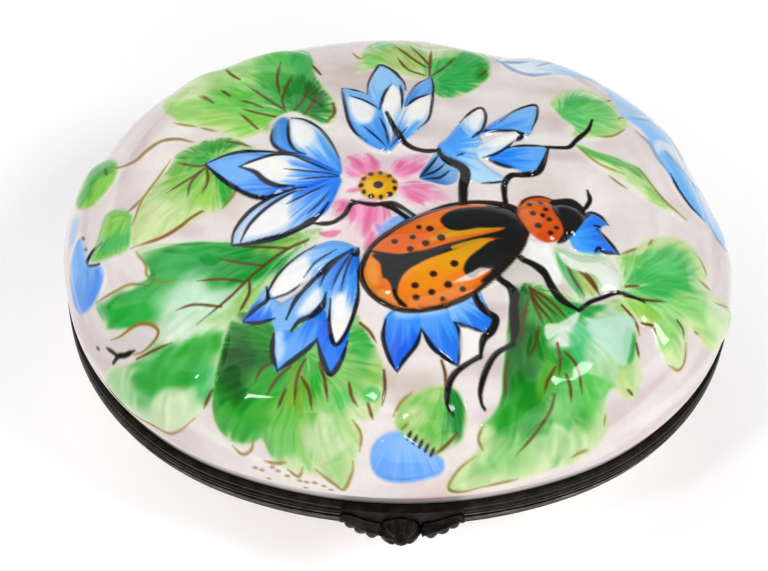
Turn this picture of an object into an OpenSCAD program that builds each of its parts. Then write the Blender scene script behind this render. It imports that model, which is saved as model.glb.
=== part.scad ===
// Hinged oval porcelain pill box. Units are millimetres. +X runs to the right along the
// long axis, +Y runs to the back where the hinge is, and +Z is up. The origin is on the
// table under the middle of the box.
//
// Every ring of the box follows one oval of four arcs, two tight ones at the ends and two
// wide ones along the sides. A ring's profile is drawn in terms of its half length.

/* [Rims] */
// Length of the two metal rims, left to right
rim_length = 80; // [76:1:84]
// Width of the two metal rims, front to back
rim_width = 68; // [66:1:70]
// Height of each metal rim
rim_height = 2.4; // [2.2:0.1:2.8]
// Thickness of the upright wall of a rim
rim_wall = 0.65; // [0.5:0.05:0.8]
// Thickness of the shelf that the porcelain stands on
shelf_thickness = 0.6; // [0.5:0.05:0.8]
// How far the shelf reaches in under the porcelain
shelf_reach = 4.2; // [3.8:0.1:4.4]
// Gap between the closed rims
parting_gap = 0.05; // [0.05:0.01:0.12]

/* [Porcelain] */
// Height of the bowl below its rim
base_height = 15; // [14:0.5:17]
// Rise of the domed lid above its rim
dome_rise = 14.3; // [13:0.1:15.5]
// Radius of the lid's rounded shoulder
shoulder_radius = 11.5; // [10:0.25:12]
// Wall of the porcelain
porcelain_wall = 2.8; // [2.4:0.1:3]
// Half length of the foot
foot_radius = 28.7; // [27:0.1:29.5]
// Width of the bare ring that the foot stands on
foot_ring = 1.8; // [1.4:0.1:2.4]
// Depth of the hollow under the foot
foot_recess = 1; // [0.6:0.1:1.4]
// Thickness of the bowl's floor above that hollow
floor_thickness = 2.6; // [2.2:0.1:3]
// Thickness of the bedding between the porcelain and its shelf
bedding = 0.3; // [0.2:0.05:0.4]

/* [Moulded beetle] */
// Length of the raised wing cases on the lid
beetle_length = 20.5; // [18:0.5:21]
// Width of the raised wing cases
beetle_width = 12; // [11:0.5:12.5]
// Height of the wing cases above the crown of the dome
beetle_rise = 2.05; // [1.5:0.05:2.5]
// Depth below the crown of the level the mound stands on, inside the shell's wall
beetle_seat = 2; // [1.8:0.1:2.4]
// Turn of the beetle away from the long axis
beetle_turn = 24; // [18:1:30]
// Middle of the wing cases to the right of the box's middle
beetle_right = 5; // [4:0.2:6]
// Middle of the wing cases in front of the box's middle
beetle_forward = 10.2; // [9:0.2:11]

/* [Hinge] */
// Outer radius of the knuckles
knuckle_radius = 1.35; // [1.3:0.05:1.4]
// Radius of the hinge pin
pin_radius = 0.6; // [0.5:0.05:0.65]
// Running clearance round the pin
pin_clearance = 0.03; // [0.02:0.01:0.06]
// Length along the pin that each knuckle takes up
knuckle_pitch = 3; // [2.6:0.1:3.4]
// Gap between neighbouring knuckles
knuckle_gap = 0.1; // [0.08:0.01:0.2]
// Distance from the rims' back to the pin
pin_setback = 1.4; // [1.4:0.05:1.5]
// Thickness of the soldered leaves
leaf_thickness = 0.7; // [0.6:0.05:0.8]

/* [Clasp] */
// Width of the clasp across its two wings
clasp_width = 14.4; // [13:0.2:16]
// Thickness of the back plate
plate_thickness = 0.85; // [0.8:0.05:0.95]
// Clearance between the tongue and the lower rim
tongue_clearance = 0.2; // [0.15:0.01:0.3]
// Width of the tongue
tongue_width = 5.2; // [4.6:0.1:6]
// Radius of the raised blossom
blossom_radius = 2.35; // [2:0.05:2.5]
// Radius of the stud that the tongue closes over
stud_radius = 0.42; // [0.3:0.02:0.42]
// How far the stud stands out of the lower rim
stud_rise = 0.4; // [0.3:0.05:0.45]

/* [Hidden] */

$fn = 96;
ring_facets = 144;
eps = 0.01;

metal_colour = [0.16, 0.14, 0.12];
porcelain_colour = [0.87, 0.83, 0.82];
cement_colour = [0.80, 0.78, 0.72];

half_length = rim_length / 2;
half_width = rim_width / 2;

// The four arcs of the oval. Each tight arc is centred on the long axis and each wide one on
// the short axis. The line through two such centres passes through the point where their
// arcs meet, and it rises 12 for every 5 along.
joint_run = 5;
joint_rise = 12;
joint_length = norm([joint_run, joint_rise]);
end_centre = joint_run * (half_length - half_width) / (joint_run + joint_rise - joint_length);
side_centre = end_centre * joint_rise / joint_run;
centre_distance = end_centre * joint_length / joint_run;

// Levels, from the table up
base_rim_bottom = base_height;
parting = base_rim_bottom + rim_height;
lid_rim_bottom = parting + parting_gap;
lid_rim_top = lid_rim_bottom + rim_height;
crown = lid_rim_top + dome_rise;

// Porcelain inside the rims
glue_line = 0.1;
porcelain_outer = half_length - rim_wall - glue_line;
porcelain_inner = porcelain_outer - porcelain_wall;
shelf_inner = half_length - shelf_reach;
base_edge = parting - shelf_thickness - bedding;
lid_edge = lid_rim_bottom + shelf_thickness + bedding;

// Locating lip inside the lower rim, which stands up into the lid
lip_gap = 0.2;
lip_wall = 0.7;
lip_rise = 0.8;
lip_outer = shelf_inner - lip_gap;
lip_inner = lip_outer - lip_wall;

// Two arcs make the dome: a wide crown and a tight shoulder that meet on one tangent
shoulder_run = porcelain_outer - shoulder_radius - end_centre;
crown_radius = (pow(shoulder_run, 2) + pow(dome_rise, 2) - pow(shoulder_radius, 2))
             / (2 * (dome_rise - shoulder_radius));
tangent_angle = asin(shoulder_run / (crown_radius - shoulder_radius));

// Beads along the rims
bead_radius = 0.34;
groove_depth = 0.22;
bead_steps = 8;

// Hinge
pin_y = half_width + pin_setback;
pin_z = parting + parting_gap / 2;
leaf_width = 5 * knuckle_pitch;
leaf_top_gap = 0.12;
pin_head_radius = 0.95;
pin_head_length = 0.45;

// Clasp; its front comes as far forward as the hinge goes back
clasp_front = pin_y + knuckle_radius;
plate_front = half_length + plate_thickness;
band_depth = 3;
wing_thickness = 0.7;
// Each lobe of a wing: its share of the half width, its height up the rims and its radius
wing_lobes = [[0.50, 2.3, 1.2], [0.72, 2.9, 1], [0.90, 3.55, 0.65]];
tongue_bottom = base_rim_bottom + 0.15;
stud_z = base_rim_bottom + rim_height / 2;
slot_margin = 0.25;
blossom_z = stud_z + 1;
petal_count = 6;
petal_radius = 0.8;

// Points of an arc about a centre
function arc_points(centre, radius, from, to, steps) =
    [for (i = [0:steps]) let (t = from + (to - from) * i / steps)
        centre + radius * [cos(t), sin(t)]];

// Points of the arc from p to q that bows out to its right by the given height
function bowed(p, q, bow, steps) =
    let (chord = norm(q - p),
         radius = (pow(chord / 2, 2) + pow(bow, 2)) / (2 * bow),
         side = [q.y - p.y, p.x - q.x] / chord,
         centre = (p + q) / 2 - (radius - bow) * side,
         from = atan2(p.y - centre.y, p.x - centre.x),
         to = atan2(q.y - centre.y, q.x - centre.x))
    arc_points(centre, radius, from, to, steps);

// The dome's profile, from its rim up to the crown, set in from the outside by a depth
function dome_points(inset) =
    concat(
        arc_points([end_centre + shoulder_run, lid_rim_top], shoulder_radius - inset,
                   0, 90 - tangent_angle, 14),
        arc_points([end_centre, crown - crown_radius], crown_radius - inset,
                   90 - tangent_angle * 0.86, 90, 6));

// A rim's outer face from one level up to another, with a bead along each edge
function rim_face(bottom, top) =
    concat(
        arc_points([half_length - bead_radius, bottom + bead_radius], bead_radius, -80, 60, bead_steps),
        [[half_length - groove_depth, bottom + 2.2 * bead_radius],
         [half_length - groove_depth, top - 2.2 * bead_radius]],
        arc_points([half_length - bead_radius, top - bead_radius], bead_radius, -60, 80, bead_steps));

// Everything between the two lines through the arcs' joints, out from where the lines cross
module sector(apex, along, across) {
    far = 8;
    translate([0, 0, -1]) linear_extrude(crown) polygon([
        apex, apex + far * [along.x + across.x, along.y + across.y],
        apex + far * [along.x - across.x, along.y - across.y]]);
}

// The small pointed lens in the middle of the box that no arc reaches, between two levels
module middle_lens(bottom, top) {
    translate([0, 0, bottom]) intersection_for(side = [-1, 1])
        translate([0, side * side_centre, 0])
        cylinder(r = centre_distance, h = top - bottom, $fn = ring_facets);
}

// Carries a profile round the four arcs of the oval
module oval() {
    for (turn = [0, 180]) rotate([0, 0, turn]) {
        intersection() {
            translate([end_centre, 0, 0]) rotate_extrude($fn = ring_facets)
                translate([-end_centre, 0]) children();
            sector([end_centre, 0], [joint_run, 0], [0, joint_rise]);
        }
        intersection() {
            translate([0, -side_centre, 0]) rotate_extrude($fn = ring_facets)
                translate([side_centre - half_length + half_width, 0]) children();
            sector([0, -side_centre], [0, joint_rise], [joint_run, 0]);
        }
    }
}

// The bedding under a porcelain edge, up from the given level
module bedding_ring(bottom) {
    color(cement_colour) oval() translate([porcelain_inner, bottom])
        square([porcelain_wall - glue_line, bedding]);
}

// An upright band of the oval, from well inside the rims out to the given half length
module oval_band(reach) {
    oval() translate([half_length - band_depth, base_rim_bottom - 1])
        square([reach - half_length + band_depth, 2 * rim_height + 3]);
}

// The space inside the outer faces of both rims, to cut soldered pieces to their curve
module rim_space() {
    inside = half_length - band_depth;
    neck = half_length - 2 * bead_radius;
    oval() polygon(concat(
        [[inside, base_rim_bottom - 1], [neck, base_rim_bottom - 1]],
        rim_face(base_rim_bottom, parting),
        rim_face(lid_rim_bottom, lid_rim_top),
        [[neck, lid_rim_top + 1], [inside, lid_rim_top + 1]]));
}

// A flat outline in X and Z, standing at the front between two distances from the middle
module at_front(near, far) {
    translate([0, -near, 0]) rotate([90, 0, 0]) linear_extrude(far - near) children();
}

module lid_shell() {
    inside = dome_points(porcelain_wall);
    color(porcelain_colour) union() {
        oval() polygon(concat(
            [[porcelain_inner, lid_edge], [porcelain_outer, lid_edge]],
            dome_points(0),
            [for (i = [len(inside) - 1:-1:0]) inside[i]]));
        middle_lens(crown - porcelain_wall, crown);
        beetle();
    }
}

// The moulded wing cases, a low oval mound that the shell carries in front of its crown
module beetle() {
    translate([beetle_right, -beetle_forward, crown - beetle_seat])
        rotate([0, 0, beetle_turn]) intersection() {
            scale([beetle_length / 2, beetle_width / 2, beetle_rise + beetle_seat]) sphere(r = 1);
            translate([-beetle_length, -beetle_length, 0]) cube(2 * beetle_length);
        }
}

module lid_cement() { bedding_ring(lid_edge - bedding); }

module lid_rim() {
    wall_inner = half_length - rim_wall;
    shelf_top = lid_rim_bottom + shelf_thickness;
    color(metal_colour) oval() polygon(concat(
        [[shelf_inner, lid_rim_bottom]],
        rim_face(lid_rim_bottom, lid_rim_top),
        [[wall_inner, lid_rim_top], [wall_inner, shelf_top], [shelf_inner, shelf_top]]));
}

module base_bowl() {
    wall_bottom = base_rim_bottom - 0.4;
    inner_floor = foot_recess + floor_thickness;
    inner_bottom = foot_radius - porcelain_wall - 4;
    fillet = 4;
    wall_steps = 14;
    outside = bowed([foot_radius + 0.1, 0.9], [porcelain_outer - 0.4, wall_bottom], 1.1, wall_steps);
    inside = bowed([inner_bottom + fillet * 0.72, inner_floor + fillet * 0.3],
                   [porcelain_inner - 0.4, wall_bottom - 0.8], 1, wall_steps);
    color(porcelain_colour) union() {
        oval() polygon(concat(
            [[end_centre, foot_recess], [foot_radius - foot_ring - 0.5, foot_recess],
             [foot_radius - foot_ring, 0], [foot_radius - 0.4, 0], [foot_radius, 0.4]],
            outside,
            [[porcelain_outer, wall_bottom + 0.8], [porcelain_outer, base_edge],
             [porcelain_inner, base_edge], [porcelain_inner, wall_bottom]],
            [for (i = [wall_steps:-1:0]) inside[i]],
            arc_points([inner_bottom, inner_floor + fillet], fillet, -50, -90, 5),
            [[end_centre, inner_floor]]));
        middle_lens(foot_recess, inner_floor);
    }
}

module base_cement() { bedding_ring(base_edge); }

module base_rim() {
    wall_inner = half_length - rim_wall;
    shelf_bottom = parting - shelf_thickness;
    color(metal_colour) oval() polygon(concat(
        rim_face(base_rim_bottom, parting),
        [[lip_outer, parting], [lip_outer, parting + lip_rise], [lip_inner, parting + lip_rise],
         [lip_inner, shelf_bottom], [wall_inner, shelf_bottom], [wall_inner, base_rim_bottom]]));
}

// One leaf: a strip cut to the curve of the rims, from one level up to another
module hinge_leaf(bottom, top) {
    color(metal_colour) difference() {
        translate([-leaf_width / 2, half_width - 2, bottom])
            cube([leaf_width, 2 + leaf_thickness, top - bottom]);
        rim_space();
    }
}

module lid_hinge_leaf() {
    hinge_leaf(pin_z + knuckle_radius + leaf_top_gap, lid_rim_top - 0.15);
}

module base_hinge_leaf() {
    hinge_leaf(base_rim_bottom + 0.15, pin_z - knuckle_radius - leaf_top_gap);
}

// One knuckle, counted from the left, with a web that reaches up or down to its leaf
module knuckle(index, up) {
    length = knuckle_pitch - knuckle_gap;
    left = -leaf_width / 2 + index * knuckle_pitch + knuckle_gap / 2;
    reach = knuckle_radius + leaf_top_gap;
    web_near = half_width + 0.05 - pin_y;
    web_far = half_width + leaf_thickness - pin_y;
    color(metal_colour) translate([left, pin_y, pin_z]) difference() {
        union() {
            rotate([0, 90, 0]) cylinder(r = knuckle_radius, h = length);
            translate([0, web_near, up ? 0 : -reach]) cube([length, web_far - web_near, reach]);
        }
        translate([-eps, 0, 0]) rotate([0, 90, 0])
            cylinder(r = pin_radius + pin_clearance, h = length + 2 * eps);
    }
}

module lid_knuckle_left() { knuckle(1, true); }

module lid_knuckle_right() { knuckle(3, true); }

module base_knuckle_left() { knuckle(0, false); }

module base_knuckle_centre() { knuckle(2, false); }

module base_knuckle_right() { knuckle(4, false); }

module hinge_pin() {
    shank = leaf_width - knuckle_gap;
    color(metal_colour) translate([0, pin_y, pin_z]) rotate([0, 90, 0]) rotate_extrude()
        polygon([
            [0, -shank / 2 - pin_head_length],
            [pin_head_radius * 0.6, -shank / 2 - pin_head_length],
            [pin_head_radius, -shank / 2 - pin_head_length * 0.5],
            [pin_head_radius, -shank / 2], [pin_radius, -shank / 2],
            [pin_radius, shank / 2], [pin_head_radius, shank / 2],
            [pin_head_radius, shank / 2 + pin_head_length * 0.5],
            [pin_head_radius * 0.6, shank / 2 + pin_head_length],
            [0, shank / 2 + pin_head_length]]);
}

// The plate is soldered to the upper rim, and its tongue hangs clear of the lower one
module clasp_plate() {
    top = lid_rim_top - 0.2;
    back = lid_rim_bottom + 0.1;
    color(metal_colour) difference() {
        intersection() {
            oval_band(plate_front);
            at_front(half_width - 2, half_width + 2) {
                translate([-clasp_width / 2 + 0.5, back]) square([clasp_width - 1, top - back]);
                translate([-tongue_width / 2, tongue_bottom]) square([tongue_width, top - tongue_bottom]);
            }
        }
        rim_space();
        difference() {
            oval_band(half_length + tongue_clearance);
            translate([-half_length, -half_width - 3, back]) cube([rim_length, rim_width, 5]);
        }
        at_front(half_width - 1, half_width + stud_rise + slot_margin / 2)
            translate([-stud_radius - slot_margin, tongue_bottom - 1])
            square([2 * (stud_radius + slot_margin), stud_z + stud_radius + slot_margin - tongue_bottom + 1]);
    }
}

// One wing: three lobes that shrink outwards, laid on the plate
module clasp_wing(side) {
    spread = clasp_width / 2;
    root = blossom_radius + 0.55;
    color(metal_colour) difference() {
        intersection() {
            oval_band(plate_front + wing_thickness);
            at_front(half_width - 2, half_width + 3) intersection() {
                union() for (lobe = wing_lobes)
                    translate([side * spread * lobe[0], base_rim_bottom + lobe[1]])
                        circle(r = lobe[2]);
                translate([side > 0 ? root : -spread, base_rim_bottom])
                    square([spread - root, 2 * rim_height]);
            }
        }
        oval_band(plate_front);
    }
}

module clasp_wing_left() { clasp_wing(-1); }

module clasp_wing_right() { clasp_wing(1); }

// The blossom: a domed boss with a ring of petals round it, laid on the plate
module clasp_blossom() {
    root = half_width - 1;
    rise = clasp_front - root;
    color(metal_colour) difference() {
        translate([0, -root, blossom_z]) rotate([90, 0, 0]) union() {
            rotate_extrude() polygon([[0, 0], [blossom_radius * 0.9, 0], [blossom_radius * 0.9, rise * 0.62],
                [blossom_radius * 0.72, rise * 0.84], [blossom_radius * 0.4, rise * 0.97], [0, rise]]);
            for (i = [0:petal_count - 1]) rotate([0, 0, (i + 0.5) * 360 / petal_count])
                translate([blossom_radius - petal_radius * 0.55, 0, 0])
                cylinder(r = petal_radius, h = rise * 0.66, $fn = 32);
        }
        oval_band(plate_front);
    }
}

// The stud on the lower rim, cut to the rim's own curve
module catch_stud() {
    length = half_width + stud_rise;
    color(metal_colour) difference() {
        translate([0, 0, stud_z]) rotate([90, 0, 0]) rotate_extrude($fn = 48)
            polygon([[0, length - 2], [stud_radius, length - 2], [stud_radius, length - 0.15],
                     [stud_radius - 0.15, length], [0, length]]);
        oval_band(half_length - groove_depth);
    }
}

lid_shell();
lid_cement();
lid_rim();
lid_hinge_leaf();
lid_knuckle_left();
lid_knuckle_right();
clasp_plate();
clasp_wing_left();
clasp_wing_right();
clasp_blossom();
base_bowl();
base_cement();
base_rim();
base_hinge_leaf();
base_knuckle_left();
base_knuckle_centre();
base_knuckle_right();
hinge_pin();
catch_stud();
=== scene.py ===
"""Looks of an oval porcelain pill box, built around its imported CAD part.

Lengths are millimetres until a mesh is made; the lights and the floor are in metres. The lid is laid
out flat as u to the right and v to the back, both measured along the dome from its crown. Its painting
and its relief are laid on that flat sheet, and then both are carried over to the dome.
"""

import math

import bpy
import numpy as np
from mathutils import Matrix, Vector


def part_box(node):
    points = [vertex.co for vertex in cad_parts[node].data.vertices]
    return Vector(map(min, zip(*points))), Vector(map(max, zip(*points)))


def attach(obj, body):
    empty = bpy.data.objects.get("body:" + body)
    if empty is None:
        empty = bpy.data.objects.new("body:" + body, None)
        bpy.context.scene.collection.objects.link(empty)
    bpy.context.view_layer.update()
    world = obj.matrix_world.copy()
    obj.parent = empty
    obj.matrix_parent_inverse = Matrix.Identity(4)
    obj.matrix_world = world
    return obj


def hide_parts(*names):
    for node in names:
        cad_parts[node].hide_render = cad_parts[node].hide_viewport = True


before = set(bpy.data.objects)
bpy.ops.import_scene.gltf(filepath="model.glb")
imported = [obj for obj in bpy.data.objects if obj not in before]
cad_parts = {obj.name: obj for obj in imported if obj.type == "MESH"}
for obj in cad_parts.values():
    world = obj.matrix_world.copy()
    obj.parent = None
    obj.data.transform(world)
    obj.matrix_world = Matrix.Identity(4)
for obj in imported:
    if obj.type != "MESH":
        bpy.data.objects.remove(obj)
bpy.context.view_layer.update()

MM = 0.001


def node_box(node):
    """The lowest and highest corner of a CAD node, in millimetres."""
    low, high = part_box(node)
    return np.array(low) / MM, np.array(high) / MM


# ---------------------------------------------------------------- sizes, from the frame
lid_rim_low, lid_rim_high = node_box("lid_rim")
base_rim_low, base_rim_high = node_box("base_rim")
plate_low, plate_high = node_box("clasp_plate")
blossom_low, blossom_high = node_box("clasp_blossom")

HALF_L = lid_rim_high[0]
HALF_W = lid_rim_high[1]
LID_EDGE = node_box("lid_shell")[0][2]
RIM_BOTTOM = lid_rim_low[2]
RIM_TOP = lid_rim_high[2]
# How far the locating lip stands up over the parting of the rims
LIP_RISE = 0.8
PARTING = base_rim_high[2] - LIP_RISE
BASE_BOTTOM = base_rim_low[2]
BOWL_EDGE = node_box("base_bowl")[1][2]

# The oval's four arcs: a tight one at each end and a wide one along each side
END = 5 * (HALF_L - HALF_W) / 4
SIDE = END * 12 / 5
JOINT = math.atan2(12, 5)

# The dome: a wide crown arc and a tight shoulder arc, as in the CAD
REACH = 39.1
SHOULDER = 11.5
RISE = 14.3
CROWN = RIM_TOP + RISE
RUN = REACH - SHOULDER
CROWN_R = (RUN ** 2 + RISE ** 2 - SHOULDER ** 2) / (2 * (RISE - SHOULDER))
TURN = math.asin(RUN / (CROWN_R - SHOULDER))
CROWN_ARC = CROWN_R * TURN
FULL_ARC = CROWN_ARC + SHOULDER * (math.pi / 2 - TURN)
INSET = HALF_L - REACH
# How far the rolled edge of the upper rim lies below the CAD rim's top, and how far the lower one hangs
TUCK = 0.85
DROP = 1.0
# How far the porcelain swells out just above the rim
BULGE = 0.75
# Walls of the porcelain and of the rims, and the shelf that carries the porcelain
WALL = 2.8
RIM_WALL = 0.65
SHELF_REACH = 4.2
# Points round the oval: the rims, the bowl, and the outermost rings of the lid
RIM_STEPS = 900
BOWL_STEPS = 480
SPOKES = 1536
# Rings of the lid from its crown to its edge, outside and inside
OUTER_RINGS = 330
INNER_RINGS = 60


# ---------------------------------------------------------------- the oval and the dome
def oval_angles(steps):
    """Directions of the outward normal round the oval, spread evenly along its length."""
    end, side = HALF_L - END, HALF_W + SIDE
    whole = 4 * (end * JOINT + side * (math.pi / 2 - JOINT))
    marks = [(0, 0), (end * JOINT, JOINT), (whole / 2 - end * JOINT, math.pi - JOINT),
             (whole / 2 + end * JOINT, math.pi + JOINT), (whole - end * JOINT, 2 * math.pi - JOINT),
             (whole, 2 * math.pi)]
    along = np.linspace(0, whole, steps, endpoint=False)
    return np.interp(along, [m[0] for m in marks], [m[1] for m in marks])


def oval_point(angle, reach):
    """Points of the oval that reaches so far to the right, by the direction of the normal."""
    angle = np.asarray(angle, float)
    c, s = np.cos(angle), np.sin(angle)
    at_end = np.abs(s) <= math.sin(JOINT)
    radius = np.where(at_end, reach - END, reach - HALF_L + HALF_W + SIDE)
    x = np.where(at_end, np.sign(c) * END, 0) + radius * c
    y = np.where(at_end, 0, -np.sign(s) * SIDE) + radius * s
    return x, y


def oval_radius(direction):
    """Distance from the middle to the dome's rim in a direction."""
    c, s = np.abs(np.cos(direction)), np.abs(np.sin(direction))
    end, side = HALF_L - END - INSET, HALF_W + SIDE - INSET
    to_end = END * c + np.sqrt(np.maximum(0, end ** 2 - (END * s) ** 2))
    to_side = -SIDE * s + np.sqrt(np.maximum(0, side ** 2 - (SIDE * c) ** 2))
    joint = math.atan2(end * math.sin(JOINT), END + end * math.cos(JOINT))
    return np.where(np.arctan2(s, c) <= joint, to_end, to_side)


def dome(u, v, lift):
    """Points over the dome at u, v, lifted off it."""
    q, direction = np.hypot(u, v), np.arctan2(v, u)
    rim = oval_radius(direction)
    s = q * REACH / rim
    crown_turn = np.minimum(s, CROWN_ARC) / CROWN_R
    rest = TURN + np.maximum(s - CROWN_ARC, 0) / SHOULDER
    on_crown = s <= CROWN_ARC
    r = np.where(on_crown, (CROWN_R + lift) * np.sin(crown_turn),
                 RUN + (SHOULDER + lift) * np.sin(rest))
    z = np.where(on_crown, CROWN - CROWN_R + (CROWN_R + lift) * np.cos(crown_turn),
                 RIM_TOP + (SHOULDER + lift) * np.cos(rest))
    flat = r / REACH * rim
    return np.stack([flat * np.cos(direction), flat * np.sin(direction), z], -1)


# ---------------------------------------------------------------- meshes
def new_piece(name, points, faces, material, body=None, slot=None, nodes=()):
    """A smooth mesh from points in millimetres, as a piece that rides on a body if one is given."""
    mesh = bpy.data.meshes.new(name)
    mesh.from_pydata([tuple(p) for p in np.asarray(points) * MM], [], faces)
    mesh.validate()
    mesh.update()
    mesh.shade_smooth()
    piece = bpy.data.objects.new(name, mesh)
    bpy.context.scene.collection.objects.link(piece)
    piece.data.materials.append(material)
    if body:
        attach(piece, body)
    if nodes:
        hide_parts(*nodes)
    return piece


def ring_faces(rings, steps, close):
    """Quads between rings of points, each ring closed on itself."""
    a = np.arange(steps)
    b = (a + 1) % steps
    faces = []
    for i in range(rings if close else rings - 1):
        j = (i + 1) % rings
        faces.append(np.stack([i * steps + a, i * steps + b, j * steps + b, j * steps + a], -1))
    return np.concatenate(faces).tolist()


def sweep(profile, steps=RIM_STEPS):
    """Points and faces of a closed profile of reach and height, carried round the oval."""
    angles = oval_angles(steps)
    points = []
    for reach, z in profile:
        x, y = oval_point(angles, reach)
        points.append(np.stack([x, y, np.full(steps, z)], -1))
    return np.concatenate(points), ring_faces(len(profile), steps, True)


def arc(centre, radius, start, stop, count):
    """Points of an arc in a profile, by angles in degrees."""
    turns = np.radians(np.linspace(start, stop, count))
    return [(centre[0] + radius * math.cos(t), centre[1] + radius * math.sin(t)) for t in turns]


def join(parts):
    """Several lots of points and faces as one lot."""
    points, faces, offset = [], [], 0
    for p, f in parts:
        points.append(np.asarray(p, float))
        faces += [[i + offset for i in face] for face in f]
        offset += len(p)
    return np.concatenate(points), faces


def milled(reach, z, radius, pitch, steps_each=6, around=8):
    """A wire round the oval that swells into a small round grain at every pitch."""
    length = 2 * math.pi * (HALF_L + HALF_W) / 2
    grains = int(length / pitch)
    steps = grains * steps_each
    angles = oval_angles(steps)
    swell = 0.62 + 0.38 * np.abs(np.sin(np.pi * np.arange(steps) / steps_each))
    points = []
    for k in range(around):
        turn = 2 * math.pi * k / around
        x, y = oval_point(angles, reach + radius * math.cos(turn) * swell)
        points.append(np.stack([x, y, z + radius * math.sin(turn) * swell], -1))
    return np.concatenate(points), ring_faces(around, steps, True)


# ---------------------------------------------------------------- brushes on the laid-out lid
# Size of a cell of the sheet, and how far it reaches from the crown
CELL = 0.1
U_SPAN, V_SPAN = 46.6, 40.2
# Size of the noise's square of random numbers, after which it repeats
LATTICE = 97
# Just under a full turn, so that a round outline doesn't come back to its first point
ALMOST_ROUND = 6.2


def smooth_line(points, closed=False, per=7):
    """A curve through given points."""
    p = np.asarray(points, float)
    n = len(p)
    if closed:
        before, here, after, beyond = (np.roll(p, k, 0) for k in (1, 0, -1, -2))
    else:
        ends = np.concatenate([[2 * p[0] - p[1]], p, [2 * p[-1] - p[-2]]])
        before, here, after, beyond = (ends[k:n - 1 + k] for k in range(4))
    t = (np.arange(per) / per)[None, :, None]
    b, h, a, y = (q[:, None, :] for q in (before, here, after, beyond))
    curve = 0.5 * (2 * h + (a - b) * t + (2 * b - 5 * h + 4 * a - y) * t ** 2
                   + (3 * h - b - 3 * a + y) * t ** 3)
    curve = curve.reshape(-1, p.shape[1])
    return curve if closed else np.concatenate([curve, p[-1:]])


def noise(a, b, seed):
    """Smooth noise from 0 to 1 over two coordinates, one swell per unit."""
    table = np.random.default_rng(seed).random((LATTICE, LATTICE))
    i, j = np.floor(a).astype(int), np.floor(b).astype(int)
    f, g = a - i, b - j
    f, g = f * f * (3 - 2 * f), g * g * (3 - 2 * g)
    i, j = i % LATTICE, j % LATTICE
    k, m = (i + 1) % LATTICE, (j + 1) % LATTICE
    return ((table[i, j] * (1 - f) + table[k, j] * f) * (1 - g)
            + (table[i, m] * (1 - f) + table[k, m] * f) * g)


def step(x):
    """From 0 to 1 with soft ends, as x goes from 0 to 1."""
    x = np.clip(x, 0, 1)
    return x * x * (3 - 2 * x)


def circle(cu, cv, ru, rv, turns):
    """Points of a round outline at some angles."""
    return [(cu + ru * math.cos(t), cv + rv * math.sin(t)) for t in turns]


def turned(u, v, centre, degrees):
    """Distances from a centre along a turned direction and across it."""
    c, s = math.cos(math.radians(degrees)), math.sin(math.radians(degrees))
    return (u - centre[0]) * c + (v - centre[1]) * s, (v - centre[1]) * c - (u - centre[0]) * s


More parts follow.
